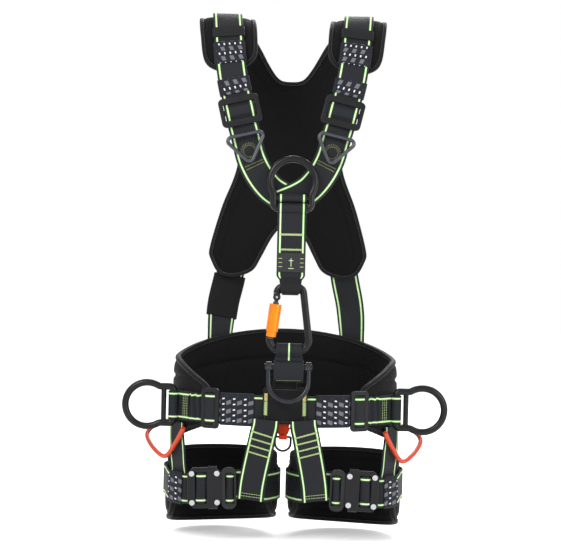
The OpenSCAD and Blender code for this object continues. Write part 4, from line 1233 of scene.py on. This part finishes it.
for side_name, side in SIDES.items():
    extra = 0 if side > 0 else CROSS_OFF
    back = back_route(extra, side)
    webbing(f"back_webbing_{side_name}", back, web_mat, stands_for=f"back_strap_{side_name}")
    thread_rows(f"back_foot_{side_name}", back, (3, 8, 24, 29), half=16)
    crossing = float(np.interp(CROSSING_Z, back.path[:, 2], back.dist))
    bar_tacks(f"back_bars_{side_name}", back, (crossing - 52, crossing + 52), half=16)
    upper = back.length - 22
    stitches(f"back_box_{side_name}", box_cross(back, upper - 30, upper), stitch_mat)
    if side < 0:
        sleeve("strap_sleeve_cloth", back, back.dist[19], back.dist[36], patch_mat,
               "strap_sleeve", WEB_W + 4, WEB_T + 3, bulge=1.5)


# ---------------------------------------------------------------- hardware
def trace(steps, start, heading, fine=7):
    """Plane path of straight runs (0, length) and arcs (radius, degrees)."""
    p, points = np.array(start, float), [np.array(start, float)]
    for radius, amount in steps:
        if radius == 0:
            h = math.radians(heading)
            p = p + amount * np.array((math.cos(h), math.sin(h)))
            points.append(p)
            continue
        turn = 1 if amount > 0 else -1
        h = math.radians(heading)
        centre = p + turn * radius * np.array((-math.sin(h), math.cos(h)))
        count = max(3, int(abs(amount) / fine))
        for i in range(1, count + 1):
            a = math.radians(heading + amount * i / count)
            points.append(centre - turn * radius * np.array((-math.sin(a), math.cos(a))))
        p, heading = points[-1], heading + amount
    return np.array(points)


TRIANGLE_HALF, TRIANGLE_CORNER, TRIANGLE_BASE = 20, 6, 55


def triangle_outline():
    """Centre line of a triangle ring, from its top left corner."""
    base = math.radians(TRIANGLE_BASE)
    cut = TRIANGLE_CORNER * math.tan(math.pi / 2 - base / 2)
    run = ((TRIANGLE_HALF + cut) / math.cos(base) - cut - TRIANGLE_CORNER * math.tan(base))
    return trace([(0, 2 * TRIANGLE_HALF), (TRIANGLE_CORNER, TRIANGLE_BASE - 180), (0, run),
                  (TRIANGLE_CORNER, -2 * TRIANGLE_BASE), (0, run),
                  (TRIANGLE_CORNER, TRIANGLE_BASE - 180)], (-TRIANGLE_HALF, 0), 0)[:-1]


def dense(points, step=2.0):
    """A closed outline with extra points along its straight runs, about step apart."""
    out = []
    for a, b in zip(points, np.roll(points, -1, 0)):
        count = max(1, int(np.linalg.norm(b - a) / step))
        out += [a + (b - a) * i / count for i in range(count)]
    return out


for side_name, side in SIDES.items():
    frame_matrix = chest_frame(TRIANGLE_CENTRE)
    flat = [(x, y, 0) for x, y in dense(triangle_outline())]
    rod(f"triangle_{side_name}_rod", in_frame(frame_matrix, flat, side), TRIANGLE_ROD,
        grey_steel_mat, f"triangle_{side_name}_body", f"triangle_ring_{side_name}",
        closed=True)

PLATE_EDGE, SMALL_EDGE, NO_BEVEL = 0.8, 0.25, 0
JOIN_WITHIN = 0.002
SHARP_ANGLE, BEVEL_ANGLE = math.radians(38), math.radians(60)
CAD_LOOKS = [
    (("sternal_ring", "side_ring_left", "side_ring_right", "dorsal_ring", "carabiner_body",
      "tab_ring", "buckle_tongue_left", "buckle_tongue_right"), black_steel_mat, NO_BEVEL),
    (("ventral_ring",), satin_black_mat, NO_BEVEL),
    (("shoulder_adjuster_left", "shoulder_adjuster_right", "belt_adjuster_left",
      "belt_adjuster_right", "dorsal_plate", "buckle_body_left", "buckle_body_right"), plate_mat,
     PLATE_EDGE),
    (("clip_upper_left", "clip_lower_left", "clip_upper_right", "clip_lower_right"), clip_mat,
     PLATE_EDGE),
    (("buckle_rivets", "gate_pin"), bright_mat, SMALL_EDGE),
    (("carabiner_gate",), grey_steel_mat, SMALL_EDGE),
    (("locking_sleeve",), sleeve_mat, SMALL_EDGE),
    (("tool_tab",), tab_mat, SMALL_EDGE)]


def join_faces(obj):
    """The CAD mesh comes with its faces apart; this joins them along shared edges."""
    obj.modifiers.new("join_faces", "WELD").merge_threshold = JOIN_WITHIN * MM


def soften_edges(obj, width):
    """A small bevel on square edges, with flat faces kept flat."""
    join_faces(obj)
    bevel = obj.modifiers.new("soft_edges", "BEVEL")
    bevel.width = width * MM
    bevel.segments = 2
    bevel.limit_method = "ANGLE"
    bevel.angle_limit = BEVEL_ANGLE
    bevel.use_clamp_overlap = True
    obj.modifiers.new("flat_faces", "WEIGHTED_NORMAL").weight = 90


def round_faces(obj):
    """Smooth shading round a forged bar's bends, with its real edges kept."""
    join_faces(obj)
    obj.modifiers.new("keep_edges", "EDGE_SPLIT").split_angle = SHARP_ANGLE
    obj.modifiers.new("round_faces", "WEIGHTED_NORMAL")


for nodes, material, edge in CAD_LOOKS:
    for node in nodes:
        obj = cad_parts[node]
        obj.data.materials.clear()
        obj.data.materials.append(material)
        obj.data.shade_smooth()
        obj.data.set_sharp_from_angle(angle=SHARP_ANGLE)
        if edge:
            soften_edges(obj, edge)
round_faces(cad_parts["carabiner_body"])


# ---------------------------------------------------------------- floor, light, camera
def plain(name, colour, rough):
    """A matt material for the floor."""
    t = Nodes(name)
    t.colour(colour)
    t.roughness(rough)
    return t.mat


def area_light(name, where, target, size, power):
    """A soft rectangle of white light that faces its target."""
    data = bpy.data.lights.new(name, "AREA")
    data.shape, data.size, data.size_y = "RECTANGLE", size[0], size[1]
    data.energy = power
    lamp = bpy.data.objects.new(name, data)
    lamp.location = where
    lamp.rotation_euler = (Vector(target) - Vector(where)).to_track_quat("-Z", "Y").to_euler()
    bpy.context.collection.objects.link(lamp)


FLOOR_Z, FLOOR_SIZE, FLOOR_GLOW = -0.200, 14, 0.25
CENTRE = (0, 0, 0.2)
CAMERA_AT, CAMERA_LENS, CAMERA_ROLL = (-10.9, -2400, 199), 99.4, math.radians(1.3)


def lay_floor():
    """A pale floor that glows a little, so that it stays even."""
    bpy.ops.mesh.primitive_plane_add(size=FLOOR_SIZE, location=(0, 2.0, FLOOR_Z))
    floor = bpy.context.object
    floor.name = "floor"
    paper = plain("floor_paper", (0.9, 0.9, 0.9), 0.9)
    shader = paper.node_tree.nodes["Principled BSDF"].inputs
    shader["Emission Color"].default_value = (1, 1, 1, 1)
    shader["Emission Strength"].default_value = FLOOR_GLOW
    floor.data.materials.append(paper)


def light_studio():
    """White surroundings and three soft lights."""
    world = bpy.data.worlds.new("studio")
    bpy.context.scene.world = world
    world.use_nodes = True
    background = world.node_tree.nodes["Background"].inputs
    background["Color"].default_value = (1, 1, 1, 1)
    background["Strength"].default_value = 1.0
    area_light("key", (-1.3, -1.8, 1.7), CENTRE, (1.1, 1.1), 48)
    area_light("fill", (1.7, -1.5, 0.8), CENTRE, (1.2, 1.4), 28)
    area_light("rim", (0.4, 1.8, 1.6), CENTRE, (1.4, 0.8), 40)
    bpy.context.scene.view_settings.view_transform = "Standard"


def set_camera():
    """The photograph's view: level, from the front, rolled to match the saddle's lean."""
    data = bpy.data.cameras.new("camera")
    data.lens, data.sensor_width = CAMERA_LENS, 36
    camera = bpy.data.objects.new("camera", data)
    camera.matrix_world = (Matrix.Translation(Vector(CAMERA_AT) * MM)
                           @ Matrix.Rotation(math.pi / 2, 4, "X")
                           @ Matrix.Rotation(CAMERA_ROLL, 4, "Z"))
    bpy.context.collection.objects.link(camera)
    bpy.context.scene.camera = camera


lay_floor()
light_studio()
set_camera()
